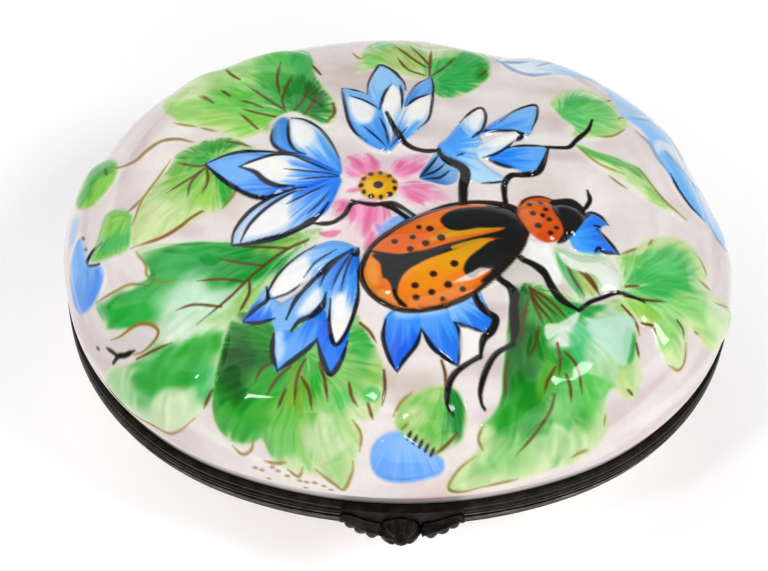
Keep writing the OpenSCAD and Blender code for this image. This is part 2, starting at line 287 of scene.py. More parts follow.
class LidPaint:
    """The colour and the height of the lid's surface, laid out flat."""

    def __init__(self):
        self.us = np.arange(-U_SPAN, U_SPAN, CELL)
        self.vs = np.arange(-V_SPAN, V_SPAN, CELL)
        self.colour = np.zeros((len(self.vs), len(self.us), 3))
        self.height = np.zeros((len(self.vs), len(self.us)))

    def everywhere(self):
        """The whole sheet."""
        return (slice(None), slice(None)), *np.meshgrid(self.us, self.vs)

    def window(self, points, margin):
        """The part of the sheet round some points."""
        low, high = points.min(0)[:2] - margin, points.max(0)[:2] + margin
        i0, i1 = np.searchsorted(self.us, [low[0], high[0]])
        j0, j1 = np.searchsorted(self.vs, [low[1], high[1]])
        u, v = np.meshgrid(self.us[i0:i1], self.vs[j0:j1])
        return (slice(j0, j1), slice(i0, i1)), u, v

    def depth(self, outline, u, v):
        """How far each place is inside a closed curve; outside it is negative."""
        best = np.full(u.shape, 1e9)
        inside = np.zeros(u.shape, bool)
        for p, q in zip(outline, np.roll(outline, -1, 0)):
            d = q - p
            t = np.clip(((u - p[0]) * d[0] + (v - p[1]) * d[1]) / max(d @ d, 1e-12), 0, 1)
            best = np.minimum(best, (u - p[0] - t * d[0]) ** 2 + (v - p[1] - t * d[1]) ** 2)
            if d[1]:
                crosses = ((p[1] > v) != (q[1] > v)) & (u < d[0] * (v - p[1]) / d[1] + p[0])
                inside ^= crosses
        return np.where(inside, 1, -1) * np.sqrt(best)

    def lay(self, where, colour, share):
        """Mixes a colour in, by a share that may differ from place to place."""
        share = np.asarray(share)[..., None]
        self.colour[where] += (np.asarray(colour, float) - self.colour[where]) * share

    def fill(self, points, colour, soft=0.25, share=1.0):
        """One colour inside an outline, with an edge as soft as given."""
        outline = smooth_line(points, True)
        where, u, v = self.window(outline, soft + 0.2)
        d = self.depth(outline, u, v)
        self.lay(where, colour, step(d / soft + 0.5) * share)

    def rise(self, points, height, shoulder, power=2.0, lump=0.0, seed=5):
        """Raises what is inside an outline, rounded over the width of its shoulder."""
        outline = smooth_line(points, True)
        where, u, v = self.window(outline, 0.2)
        d = np.clip(self.depth(outline, u, v) / shoulder, 0, 1)
        mound = height * (1 - (1 - d) ** power) ** (1 / power)
        if lump:
            mound = mound * (1 + lump * (2 * noise(u / 3.1, v / 3.1, seed) - 1))
        self.height[where] = np.maximum(self.height[where], mound)

    def touch(self, where, u, v, dab, within, ragged):
        """One soft touch of colour: place, half sizes, turn, colour, strength."""
        cu, cv, long, wide, turn, colour, share = dab
        a, b = turned(u, v, (cu, cv), turn)
        spread = np.hypot(a / long, b / wide) + ragged
        self.lay(where, colour, step((1.3 - spread) / 0.7) * within * share)

    def dabs(self, outline, dabs, edge=0.6):
        """Soft touches of colour inside an outline, fading out within its edge."""
        curve = smooth_line(outline, True)
        where, u, v = self.window(curve, 0.3)
        within = step(self.depth(curve, u, v) / edge + 0.3)
        for dab in dabs:
            self.touch(where, u, v, dab, within, 0.3 * (noise(u / 1.9, v / 0.7, 40) - 0.5))

    def brushed(self, outline, root, wash, dabs, edge=0.5):
        """A wash and soft touches of colour in an outline, all streaked outwards from a root."""
        curve = smooth_line(outline, True)
        where, u, v = self.window(curve, 0.3)
        depth = self.depth(curve, u, v)
        within = step(depth / edge + 0.3)
        aim = math.atan2(*(curve.mean(0) - root)[::-1])
        c, s = math.cos(aim), math.sin(aim)
        ahead, aside = (u - root[0]) * c + (v - root[1]) * s, (v - root[1]) * c - (u - root[0]) * s
        fan, far = np.arctan2(aside, ahead) + 0.1 * noise(u / 2.6, v / 2.2, 30), np.hypot(ahead, aside)
        broad = noise(fan * 7, far / 3.4, 31) - 0.5
        fine = noise(fan * 26, far / 2.2, 32) - 0.5
        colour, share = wash
        self.lay(where, colour, step(depth / 2.2 - 0.15 + 0.7 * broad) * within * share)
        for n, dab in enumerate(dabs):
            self.touch(where, u, v, dab, within, 0.8 * np.roll(broad, 9 * n, 0) + 0.35 * fine)
        self.lay(where, PALE_STREAK, within * 0.11 * step(1.4 * fine + 0.35))
        self.lay(where, DARK_STREAK, within * 0.1 * step(0.35 - 1.4 * fine))

    def petal(self, points, root, tip, near, far, soft=0.2):
        """A petal whose colour turns half way from its root to its tip, with brushed streaks."""
        outline = smooth_line(points, True)
        where, u, v = self.window(outline, 0.4)
        root, tip = np.array(root, float), np.array(tip, float)
        d = tip - root
        length = math.hypot(*d)
        along = ((u - root[0]) * d[0] + (v - root[1]) * d[1]) / length
        across = ((v - root[1]) * d[0] - (u - root[0]) * d[1]) / length
        fan = across / np.maximum(0.25, along / length + 0.25)
        streak = noise(along / 3.4, fan / 0.34, 11) - 0.5
        mix = step((along / length - 0.5) * 1.7 + 0.5 + 0.75 * streak)[..., None]
        colour = np.asarray(near, float) * (1 - mix) + np.asarray(far, float) * mix
        self.lay(where, colour, step(self.depth(outline, u, v) / soft + 0.5))

    def stroke(self, points, width, colour, share=1.0, taper=(0.35, 0.35), soft=0.16, lift=0.0):
        """A brush line of a width, tapered at its two ends; lift raises it off the ground."""
        line = smooth_line(points) if len(points) > 2 else np.asarray(points, float)
        where, u, v = self.window(line, width + 0.4)
        best = np.full(u.shape, 1e9)
        place = np.zeros(u.shape)
        lengths = np.hypot(*np.diff(line, axis=0).T)
        reached = 0.0
        for p, q, length in zip(line[:-1], line[1:], lengths):
            d = q - p
            t = np.clip(((u - p[0]) * d[0] + (v - p[1]) * d[1]) / max(d @ d, 1e-12), 0, 1)
            far = (u - p[0] - t * d[0]) ** 2 + (v - p[1] - t * d[1]) ** 2
            closer = far < best
            best = np.where(closer, far, best)
            place = np.where(closer, reached + t * length, place)
            reached += length
        along = place / max(reached, 1e-9)
        thick = taper[0] + (1 - taper[0]) * step(along / 0.3)
        thick = np.minimum(thick, taper[1] + (1 - taper[1]) * step((1 - along) / 0.3))
        thick = thick * (0.86 + 0.28 * noise(place / 1.3, place * 0 + width * 7, 23))
        d = width / 2 * thick - np.sqrt(best)
        self.lay(where, colour, step(d / soft + 0.5) * share)
        if lift:
            crest = step(d / (width * 0.45) + 0.25)
            self.height[where] = self.height[where] + lift * crest

    def blur_height(self, rounds):
        """Softens the relief, each round by about a cell."""
        for _ in range(rounds):
            h = np.pad(self.height, 1, mode="edge")
            self.height = (h[:-2, 1:-1] + h[2:, 1:-1] + h[1:-1, :-2] + h[1:-1, 2:]
                           + 4 * h[1:-1, 1:-1]) / 8

    def at(self, sheet, u, v):
        """What a sheet holds at places between its cells."""
        a = np.clip((u - self.us[0]) / CELL, 0, len(self.us) - 1.001)
        b = np.clip((v - self.vs[0]) / CELL, 0, len(self.vs) - 1.001)
        i, j = a.astype(int), b.astype(int)
        f, g = a - i, b - j
        if sheet.ndim == 3:
            f, g = f[..., None], g[..., None]
        return ((sheet[j, i] * (1 - f) + sheet[j, i + 1] * f) * (1 - g)
                + (sheet[j + 1, i] * (1 - f) + sheet[j + 1, i + 1] * f) * g)


# ---------------------------------------------------------------- the painter's colours, out of 255
GROUND = (231, 222, 218)
MAUVE = (208, 192, 192)
TAN = (200, 182, 170)
MILK = (240, 238, 234)
LIME = (138, 202, 66)
GREEN = (40, 166, 44)
SEA_GREEN = (50, 178, 84)
DEEP_GREEN = (6, 108, 16)
BOTTLE = (6, 74, 12)
MINT = (190, 232, 212)
PALE_STREAK = (250, 252, 236)
DARK_STREAK = (12, 84, 22)
VEIN = (92, 58, 18)
EDGE_VEIN = (142, 116, 46)
BLUE = (64, 152, 240)
ROYAL = (20, 104, 228)
INK = (12, 18, 34)
BLACK = (16, 15, 14)
WHITE = (244, 244, 240)
PINK = (240, 168, 200)
ROSE = (226, 92, 146)
YOLK = (224, 164, 12)
ORANGE = (224, 106, 18)


def ground(lid):
    """The pinkish grey wash that everything lies on."""
    everywhere, u, v = lid.everywhere()
    lid.colour[:] = GROUND
    lid.lay(everywhere, MAUVE, 0.75 * step(noise(u / 6.3, v / 2.9, 1) * 1.9 - 0.75))
    lid.lay(everywhere, TAN, 0.45 * step(noise(u / 5.1, v / 4.2, 2) * 2.2 - 1.25))
    lid.lay(everywhere, MILK, 0.7 * step(noise(u / 4.4, v / 2.6, 3) * 2.4 - 1.3))
    # Near the rim the wash is streaked round it, along the oval that is 0.86 as wide as long
    turn, out = np.arctan2(np.abs(u), -v), np.hypot(u, v / 0.86)
    by_rim = step((out - 27) / 7)
    lid.lay(everywhere, GROUND, 0.75 * by_rim)
    lid.lay(everywhere, (206, 184, 190),
        0.55 * by_rim * step(noise(turn * 2.6, out / 1.5 + u / 11, 8) * 2.4 - 0.9))
    lid.lay(everywhere, MILK, 0.6 * by_rim * step(noise(turn * 2.2, out / 1.2 - u / 13, 9) * 2.4 - 1.2))
    for cu, cv, r, colour, share in [(-7, 18, 5, TAN, 0.7), (1.5, -27, 4, TAN, 0.8),
            (-2, -25.5, 2.4, TAN, 0.8), (4.5, -39.6, 6, (206, 166, 164), 0.75), (-20, -2.5, 4, TAN, 0.5),
            (16, -1.2, 5, TAN, 0.45), (10, -24, 3, MAUVE, 0.8)]:
        d = np.hypot(u - cu, (v - cv) * 1.3) / r
        lid.lay(everywhere, colour, share * step(1.2 - d) * (0.6 + 0.4 * noise(u / 1.4, v / 1.1, 6)))


def edge_specks(lid):
    """Small brown ticks and a stain where the wash meets the front rim."""
    for cu, cv in [(-17.4, -33.6), (-16.6, -33.9), (-15.2, -33.7), (-14.6, -34.1), (-13.6, -34.7),
            (-12.2, -35.3), (-11.4, -35.5), (-10.4, -35.6), (-9.4, -36), (-16.2, -35.1), (-11.8, -36.4),
            (-8.6, -36.6), (-20.8, -34.4)]:
        lid.stroke([(cu - 0.3, cv + 0.05), (cu + 0.35, cv)], 0.34, (140, 104, 48), 0.7)
    lid.stroke([(-20, -38.2), (-12, -39.9), (-4, -40.4)], 0.6, (196, 172, 120), 0.5, soft=0.8)


# Widths of a leaf's brown lines, and how much thinner than given the ink lines are drawn
VEIN_WIDTH = 0.34
BORDER_WIDTH = 0.3
INK_WIDTH = 0.78


def leaf(lid, outline, root, base, wash, dabs=(), veins=(), border=(), height=0.85, shoulder=1.9, lump=0.25,
         seed=5):
    """A moulded leaf: its pale body, brushed greens, brown veins and a thin brown border."""
    lid.fill(outline, base, soft=0.8)
    lid.brushed(outline, root, wash, dabs)
    lid.rise(outline, height * 1.15, shoulder * 1.9, power=1.45, lump=lump, seed=seed)
    for vein in veins:
        lid.stroke(vein, VEIN_WIDTH, VEIN, 0.92, (0.9, 0.2), soft=0.2)
    for line in border:
        lid.stroke(line, BORDER_WIDTH, EDGE_VEIN, 0.85, (0.4, 0.4), soft=0.24)


def left_leaves(lid):
    """The bud, the twin leaf, the small leaf and the pale petal at the left end."""
    bud = [(-41.5, 8), (-39.5, 11), (-37.2, 11.2), (-35.3, 9), (-34.2, 7), (-34, 4.8), (-35, 2.8), (-37, 1.8),
           (-39.3, 2.7), (-41.2, 5)]
    leaf(lid, bud, (-34.5, 6.6), LIME, (GREEN, 0.6),
        [(-37, 8.4, 3.4, 1.6, -35, GREEN, 0.8), (-38.8, 5.4, 2, 2.6, -30, GREEN, 0.6),
         (-36.2, 4.6, 1.6, 1.6, 0, LIME, 0.8)], [[(-36, 7.6), (-35.6, 6.4), (-35.2, 5.6)]], height=0.8,
        shoulder=2.2)
    lid.stroke([(-34.2, 6.4), (-33, 6.1), (-31.5, 6.4), (-30.2, 7.8), (-28.6, 9), (-26.6, 9), (-24.8, 8.2)],
        0.6, EDGE_VEIN, 0.8, (0.6, 0.4), 0.3, lift=0.12)
    twin = [(-34.6, -1.2), (-32.6, -1.2), (-31.2, -2.6), (-30.9, -5), (-31.3, -7.2), (-33.2, -7.6),
        (-35.6, -7.3), (-36.9, -6.2), (-35.6, -4.4)]
    leaf(lid, twin, (-31.6, -2.4), (120, 200, 90), (GREEN, 0.9),
        [(-33.4, -3, 1.8, 1.4, 20, LIME, 0.8), (-33, -6, 2.2, 1.1, 0, SEA_GREEN, 0.7)], height=0.75,
        shoulder=1.8)
    lid.stroke([(-34.8, -5.2), (-36.6, -5.7), (-37.5, -6.6), (-37.1, -7.4), (-35.2, -7.8)], 0.75, BLACK, 0.95)
    for tick in [[(-38.6, -2.2), (-38, -3)], [(-38.2, -4.2), (-37.4, -4.8)]]:
        lid.stroke(tick, 0.4, VEIN, 0.7)
    lid.stroke([(-30.2, 0), (-30.8, -1), (-31.8, -1.9)], 0.4, VEIN, 0.6)
    petal = [(-40.8, -5), (-40.4, -9.5), (-39, -12.2), (-36.6, -12.4), (-34.6, -10.4), (-34.9, -8.3),
        (-37.2, -7), (-38, -4.2), (-39.2, -2.2)]
    lid.petal(petal, (-37, -5), (-37, -12), (128, 184, 244), (88, 150, 236), soft=0.6)
    lid.rise(petal, 0.4, 1.6)
    lid.fill([(-41.6, 2), (-40.6, 2.6), (-39.6, 0.6), (-40, -1.6), (-41.4, -2)], (166, 200, 240), 1, 0.8)

    small = [(-26.6, 6.4), (-24.6, 7.7), (-22.4, 8.5), (-20, 8.3), (-18.3, 7), (-17.4, 5.8), (-19.5, 3.5),
             (-19.4, 0.5), (-19.5, -1.6), (-20.6, -3.2), (-22.4, -3.6), (-24.4, -4.8), (-27, -6), (-29, -6.7),
             (-30.7, -7), (-31, -4.4), (-30.6, -1.4), (-29.8, 0.8), (-28, 3), (-27, 5)]
    leaf(lid, small, (-21.6, 4.2), (204, 224, 154), ((120, 196, 76), 0.55),
        [(-24, 3.6, 3.6, 2.8, 35, (84, 180, 58), 0.85), (-22.6, 7, 3.6, 1.3, 6, (40, 156, 40), 0.95),
         (-20.3, 0, 1.1, 3.2, 0, GREEN, 0.9), (-22.6, -0.6, 1.5, 2.6, 8, LIME, 0.9),
         (-25.2, 2.4, 2.4, 2, 30, LIME, 0.7), (-27.6, -3.2, 2.8, 2.6, 20, (206, 222, 158), 0.9),
         (-23.6, 4.6, 1.5, 0.9, 30, GREEN, 0.8)],
        [[(-22.4, 3.9), (-24, 3.9), (-26.2, 4.8)], [(-22.6, 3.6), (-24.6, 1.9), (-27.2, 0.1)],
         [(-22.6, 3.4), (-22.4, 1.2), (-23, -0.6)], [(-23, 3.2), (-24.3, 1.4), (-24.6, -0.8)],
         [(-20.6, 7.6), (-19, 7.1), (-17.7, 6.4)]],
        [[(-27.2, 5.6), (-28.4, 3), (-29.8, 0.4), (-30.4, -1.4), (-31, -4)],
         [(-19.4, 1), (-19.3, -0.9), (-20.6, -3)]], height=0.9)
    lid.stroke([(-31, -7.3), (-29, -6.9), (-27, -6.2), (-25.2, -5), (-24, -3.9), (-22.9, -3.2)], 0.46,
        (126, 74, 22), 0.8, (0.3, 0.9))


def great_left_leaf(lid):
    """The large leaf left of the beetle, with the bare bay in its edge."""
    outline = [(-9.6, -6.4), (-14, -7.4), (-19, -7.9), (-24, -7.3), (-30, -7.2), (-30.2, -8.4),
        (-28.8, -10.2), (-28.6, -11.7), (-31, -12), (-34.4, -12.4), (-36, -12.6), (-35.3, -14.4),
        (-34.4, -16.2), (-31.4, -17), (-28.4, -17.4), (-27.2, -18.3), (-28, -19.4), (-31, -20.6),
        (-34, -20.4), (-36.6, -20.6), (-36.9, -22.4), (-34.6, -25), (-31.2, -27), (-28, -28.5), (-25, -28.3),
        (-21.4, -26.6), (-19.8, -24), (-19.6, -20.4), (-18, -18.2), (-15.6, -15.8), (-14, -13), (-12, -10),
        (-9.4, -8)]
    leaf(lid, outline, (-11, -8), (214, 230, 188), ((110, 196, 116), 0.5),
        [(-21.6, -10.4, 9.4, 3.2, 6, (34, 166, 64), 1), (-18, -11.6, 5, 2.6, 20, (8, 140, 36), 0.8),
         (-27, -14.4, 4, 2, -12, GREEN, 0.8), (-31.6, -14.5, 4.4, 2.2, -8, (28, 168, 50), 1),
         (-13, -8.6, 3.4, 1, 22, (140, 190, 80), 0.85), (-17.6, -16.6, 4.4, 1.5, 44, (150, 200, 96), 0.85),
         (-21, -18.6, 2, 1, 35, LIME, 0.6), (-23.6, -16.2, 4.4, 3, 30, (202, 234, 208), 0.9),
         (-24.4, -19.6, 5.4, 1.6, 8, (224, 238, 216), 0.85), (-27, -22.4, 5.6, 2.6, 16, (50, 170, 60), 0.95),
         (-22.6, -22, 3, 2.6, 30, GREEN, 0.85), (-33.6, -22.8, 2.8, 1.6, -22, (178, 218, 158), 0.8),
         (-27, -26.4, 4, 1.4, 8, (222, 234, 194), 0.8), (-21.6, -24.6, 1.8, 2, 10, SEA_GREEN, 0.7)],
        [[(-10.6, -8.2), (-13.2, -9.6), (-16.5, -12.5), (-19.2, -15.4), (-22.6, -18.4)],
         [(-12.6, -9.3), (-16, -8.9), (-19.4, -8.4)], [(-15.4, -11.5), (-18, -10.9), (-20.4, -10.2)],
         [(-17.6, -13.4), (-20, -12.9), (-22.8, -12.9)], [(-17, -13.2), (-17, -15), (-18.2, -17.6)],
         [(-20, -16.4), (-23, -15.9), (-25, -16.4)], [(-30.4, -20.6), (-27.6, -20.3), (-25.4, -20)]],
        [[(-30.2, -8), (-29, -9.9), (-28.7, -11.4), (-27, -12.5), (-25, -12.4)],
         [(-35.9, -12.4), (-33, -12.2), (-30.6, -12), (-28.2, -12.9)],
         [(-39.3, -18.2), (-37.6, -20.6), (-35.6, -23.4), (-33.4, -25.8), (-30, -27.7), (-28, -28.8),
          (-26, -28.8), (-23.8, -28)]], height=1.0, shoulder=2.6, lump=0.35, seed=9)
    bay = [(-34.6, -17.6), (-32.4, -17.8), (-30, -17.2), (-28, -17.6), (-27.2, -18.6), (-28.4, -19.6),
           (-30.6, -20), (-33, -19.8), (-35, -19.2)]
    lid.fill(bay, (214, 208, 206), 0.4)
    lid.stroke([(-34, -17.4), (-32.4, -17.5), (-30, -17), (-28.3, -17.3), (-27.2, -18.2), (-27.6, -19.2),
        (-29.2, -20), (-30.8, -20)], 0.42, (150, 108, 30), 0.9)
    lid.stroke([(-34, -19.9), (-33, -19.5), (-32, -19.7), (-30.4, -19.6)], 0.62, BLACK, 0.95, (0.7, 0.2))
    lid.stroke([(-34.9, -17.9), (-34, -18.7), (-33.2, -19.4)], 0.4, BLACK, 0.9, (0.3, 0.8))
    lid.stroke([(-36.6, -17.2), (-36, -17.8)], 0.4, VEIN, 0.8)


def lower_leaves(lid):
    """The broad leaf in front on the left, and the blue ball in its green cap."""
    left = [(-18.4, -17.4), (-19.5, -20), (-20.2, -23), (-20.9, -25.6), (-21.4, -27.6), (-21, -29.4),
        (-19.6, -30.8), (-17.4, -31.2), (-15.9, -31), (-15.2, -32.6), (-13.4, -34), (-11.4, -34.5),
        (-9.4, -35), (-8, -36), (-6.9, -36.6), (-5.9, -35), (-5.2, -33), (-4.6, -31), (-5.1, -29.6),
        (-3.1, -29.4), (-2.2, -27), (-2.2, -24.5), (-3, -22), (-4.5, -19.3), (-5.4, -17.6), (-9, -17),
        (-13, -17), (-16, -17.2)]
    leaf(lid, left, (-10.4, -22.4), (200, 222, 160), ((96, 184, 72), 0.7),
        [(-15.4, -24.6, 5.6, 6.4, 10, (26, 158, 28), 0.95), (-17.6, -28, 4.4, 3.2, 20, (34, 160, 34), 0.95),
         (-17.4, -22.4, 3.2, 4.4, 10, DEEP_GREEN, 0.95), (-18, -23.6, 1.5, 3, -20, BOTTLE, 0.9),
         (-15, -19.6, 1.8, 2, 0, (16, 130, 16), 0.9), (-14.6, -25.4, 2.2, 2, 0, (40, 160, 40), 0.85),
         (-12.4, -28.4, 3.4, 1.8, 8, (110, 190, 70), 0.8), (-14, -31.6, 2.2, 2, -30, (104, 190, 84), 0.85),
         (-11, -32, 1.2, 2.2, 0, (120, 200, 84), 0.7), (-8.6, -31.6, 2.6, 2.6, 0, (206, 222, 172), 0.8),
         (-9.8, -25.2, 1, 1.6, 0, GREEN, 0.8), (-11.6, -26, 1.2, 2.4, 0, (120, 170, 40), 0.7),
         (-4.6, -21.6, 1.3, 3, 14, (50, 176, 60), 0.95), (-7, -27.4, 1.1, 1, 0, (70, 190, 80), 0.8),
         (-3.4, -27.2, 0.9, 0.9, 0, (60, 190, 80), 0.8), (-6, -30.6, 1.6, 1.2, 0, (180, 214, 130), 0.7),
         (-3.2, -25, 0.8, 2, 0, LIME, 0.5)],
        [[(-10.6, -23.2), (-11.4, -25), (-11.8, -28)], [(-12.2, -24), (-13.6, -25.2), (-14.9, -27)],
         [(-13.8, -23.3), (-15.2, -24), (-16.1, -25.4)], [(-11, -25.2), (-10.2, -26.6), (-9.9, -28.6)],
         [(-9.1, -23.6), (-8.5, -25.6), (-8.2, -27.8)], [(-12.7, -26.4), (-13.6, -28.2)],
         [(-5.9, -26), (-5.6, -27.4), (-5, -28.4)], [(-2.2, -24.6), (-2.1, -26.6), (-2.4, -28.3)],
         [(-3.9, -28.1), (-3.4, -29.6)], [(-21, -25.6), (-22.4, -27.2)],
         [(-4.8, -19), (-3.8, -20), (-3, -21.4)]],
        [[(-19.6, -31.2), (-18.6, -32.1), (-17.4, -31.8), (-16.9, -30.8)],
         [(-16, -33), (-14.8, -33.3), (-13.4, -33.4)], [(-13.4, -34), (-12.2, -34.8), (-11.5, -34)],
         [(-10, -34.3), (-8, -35.8), (-7, -36.5), (-5.8, -34.6), (-5.7, -33.6)],
         [(-5.6, -29.6), (-4.7, -31), (-4.9, -32.6)]], height=1.0, shoulder=2.2, lump=0.3, seed=12)

    cap = [(-0.4, -28), (1.4, -26.9), (3.6, -26.3), (5.4, -26.5), (6.4, -28), (6.7, -29.8), (6.3, -31.4),
        (5, -32.3), (3.4, -33), (1.4, -31.9), (-0.6, -30.7), (-0.9, -29.4)]
    ball = [(-0.6, -30.7), (1.2, -31.6), (3.2, -32.7), (4.5, -33.6), (4.3, -34.7), (2.6, -35.3), (0.2, -35.7),
            (-2, -35.5), (-3.4, -34.6), (-3.7, -33), (-2.8, -31.4)]
    lid.petal(ball, (0, -31), (0, -37), (128, 180, 250), (96, 160, 240), soft=0.5)
    lid.rise(ball, 0.8, 2)
    leaf(lid, cap, (4.2, -25), (164, 208, 116), (GREEN, 0.5),
        [(3, -29.8, 2.6, 1.6, -30, (118, 194, 80), 0.85), (5.5, -29.2, 1.2, 2.8, 6, (16, 130, 44), 0.95),
         (1.2, -29.4, 1.6, 1.1, 0, (190, 218, 146), 0.8)],
        [[(4, -23.4), (4.4, -25), (4.3, -26.3)], [(5.8, -30.8), (4.8, -31.9), (3.4, -33)]],
        [[(-1.2, -29.3), (-0.4, -28), (0.8, -27)], [(-0.3, -30.6), (0.4, -30)]], height=0.9, shoulder=1.6)
    for cu, cv in [(0.5, -31.1), (1.15, -31.5), (1.8, -31.9), (2.45, -32.3), (3.1, -32.7)]:
        lid.stroke([(cu + 0.22, cv + 0.3), (cu - 0.12, cv - 0.42)], 0.42, BLACK, 0.95, (0.5, 0.8))


def right_leaves(lid):
    """The long leaf under the beetle's legs and the lobed one at the right end."""
    great = [(12, -14.2), (14, -13.4), (17, -14), (20, -15.6), (22, -15.4), (24, -14.4), (25.2, -15.6),
        (26, -17.6), (26, -20), (26.8, -22.4), (26.7, -24.8), (25.2, -25.5), (23.4, -24.8), (22.6, -26),
        (23.4, -27.6), (23.3, -29.6), (22, -31.3), (20, -32.6), (17.5, -33.6), (15, -34.5), (12, -35.4),
        (9, -36.3), (6.4, -37), (5, -36.4), (5.8, -34.6), (7.4, -33.1), (8.4, -32), (8.2, -30), (9.3, -29),
        (10.3, -27.4), (10.6, -24.6), (11, -21.6), (11.4, -18)]
    leaf(lid, great, (14, -14), (206, 226, 166), ((88, 182, 74), 0.6),
        [(15.4, -22, 5.6, 8, -12, (44, 160, 48), 0.95), (13, -24, 3, 5.4, 0, DEEP_GREEN, 0.95),
         (12.8, -18.2, 1.9, 4.2, 0, (8, 90, 18), 1), (11.6, -28.8, 3, 1.8, 30, (34, 156, 34), 0.9),
         (14.8, -16.8, 2, 2.4, -30, (60, 160, 50), 0.85), (16.4, -22.4, 1.5, 4, -22, (34, 156, 40), 0.85),
         (13.8, -27.4, 2.2, 1.8, 20, (16, 136, 24), 0.85), (17.2, -18.6, 2.6, 1.1, 20, (66, 160, 50), 0.8),
         # On the next line the white touch is a painted highlight, and the mint touch is pale paint that also
         # serves as a painted reflection
         (17.6, -20, 2.2, 1, 28, WHITE, 0.9), (22, -18.8, 2.6, 3, 0, MINT, 0.9),
         (19.4, -21, 1.2, 2.6, 0, (60, 190, 110), 0.75), (20.6, -16, 2.6, 1, 20, (20, 160, 60), 0.9),
         (24.8, -20, 0.7, 2.2, 0, (30, 160, 60), 0.85), (20.8, -25.4, 2.6, 2, 0, (90, 200, 80), 0.8),
         (17.6, -27, 2, 2.6, 0, (120, 200, 110), 0.8), (22, -22, 2, 2.6, 0, (196, 228, 190), 0.7),
         (17, -31, 3.6, 1.6, 16, (196, 222, 164), 0.8), (24.8, -23.6, 1.6, 1.6, 0, (196, 220, 140), 0.7),
         (15.4, -24.6, 1, 2.4, -12, (90, 170, 40), 0.7)],
        [[(13.8, -14), (14.4, -15.8), (16.2, -18.6)], [(14, -14.2), (16, -15.6), (18, -18)],
         [(13.9, -14.6), (14.3, -16.4), (15.2, -18.8)], [(14.1, -14.4), (15.3, -16), (16.8, -17.6)],
         [(13.4, -17), (12.8, -19), (12.8, -21)], [(14.6, -19), (14.2, -21), (13.4, -22.8)],
         [(13.6, -15.6), (13, -17.4), (11.8, -19.4)], [(16.6, -20.8), (16.8, -22.6), (16.6, -24.4)],
         [(17.4, -21.8), (18.6, -23.2), (19.4, -26)], [(17.4, -24.2), (17.9, -25.4), (18.2, -27)],
         [(16.2, -23.6), (15.4, -25), (15, -26.4)],
         [(16.2, -26.4), (15.8, -28.2), (14.4, -30.6), (12.6, -32.8)],
         [(11.2, -23.2), (10.9, -25), (10.9, -27.2)], [(24.2, -15.4), (25.6, -17), (26.2, -18.6)],
         [(25.8, -19.6), (26.2, -21)], [(25.2, -24.6), (26.1, -25)]],
        [[(8.6, -30), (8.2, -31.2), (8.8, -32.4)],
         [(8, -33), (6.2, -34.4), (5.3, -36.2), (6.8, -36.8), (9.4, -36)],
         [(9.4, -36), (12, -35.3), (13.6, -34.9)], [(22.8, -27.6), (22.9, -28.6)],
         [(19.6, -32.2), (20.6, -31.6), (21.6, -31.2)]], height=1.0, shoulder=2.4, lump=0.35, seed=15)

    side = [(24.2, -8.6), (26.4, -7.4), (28, -6), (31, -5), (33.6, -5.4), (35.2, -6.9), (35.9, -8.5),
        (35.2, -9.7), (38, -10.2), (41.4, -9.2), (43.4, -9.8), (42.6, -12.8), (40.4, -15.4), (37.2, -16.9),
        (34.8, -16.2), (33.2, -16), (33, -18.4), (33, -20.2), (31.2, -20.9), (29.2, -19.8), (28, -17.6),
        (26.6, -17.2), (25, -15.6), (24, -14), (24.6, -12.5), (24.2, -10.6)]
    leaf(lid, side, (24.2, -13.4), (206, 229, 162), ((120, 206, 104), 0.6),
        [(28.6, -11, 5, 2.8, 4, (62, 182, 84), 1), (29.6, -8.6, 3, 2, 30, (84, 196, 100), 0.9),
         (33.4, -13.6, 3.4, 1.2, 10, (132, 208, 104), 0.85), (26, -15.4, 2.4, 1, -20, LIME, 0.8),
         (29.4, -18.2, 1.1, 1.8, 0, (140, 212, 110), 0.8), (25.6, -9.4, 1.4, 1, 30, (120, 200, 90), 0.7),
         (38.4, -13, 3, 2.4, 20, (216, 234, 188), 0.7)],
        [[(24.6, -14.2), (27, -14.3), (29.4, -14)], [(24.8, -12.9), (26.4, -12.6)],
         [(31, -15.7), (32, -16.4), (32.3, -17.4)], [(26.4, -17.2), (27.9, -17.2), (28.2, -18)]],
        [[(24.8, -8.5), (26.6, -7.4)], [(28, -6.8), (28.6, -5.9)], [(33.6, -6.3), (34.8, -7), (35.9, -8.2)],
         [(34.2, -9.6), (35.2, -9.7), (36.6, -9.9)], [(37.2, -11.2), (38.6, -10.8), (40.6, -10)],
         [(34, -15.9), (34.8, -16)], [(30.6, -20.8), (32.2, -20.8), (33, -19.6), (32.9, -17.6)]],
        height=0.95, shoulder=2.2, lump=0.35, seed=18)


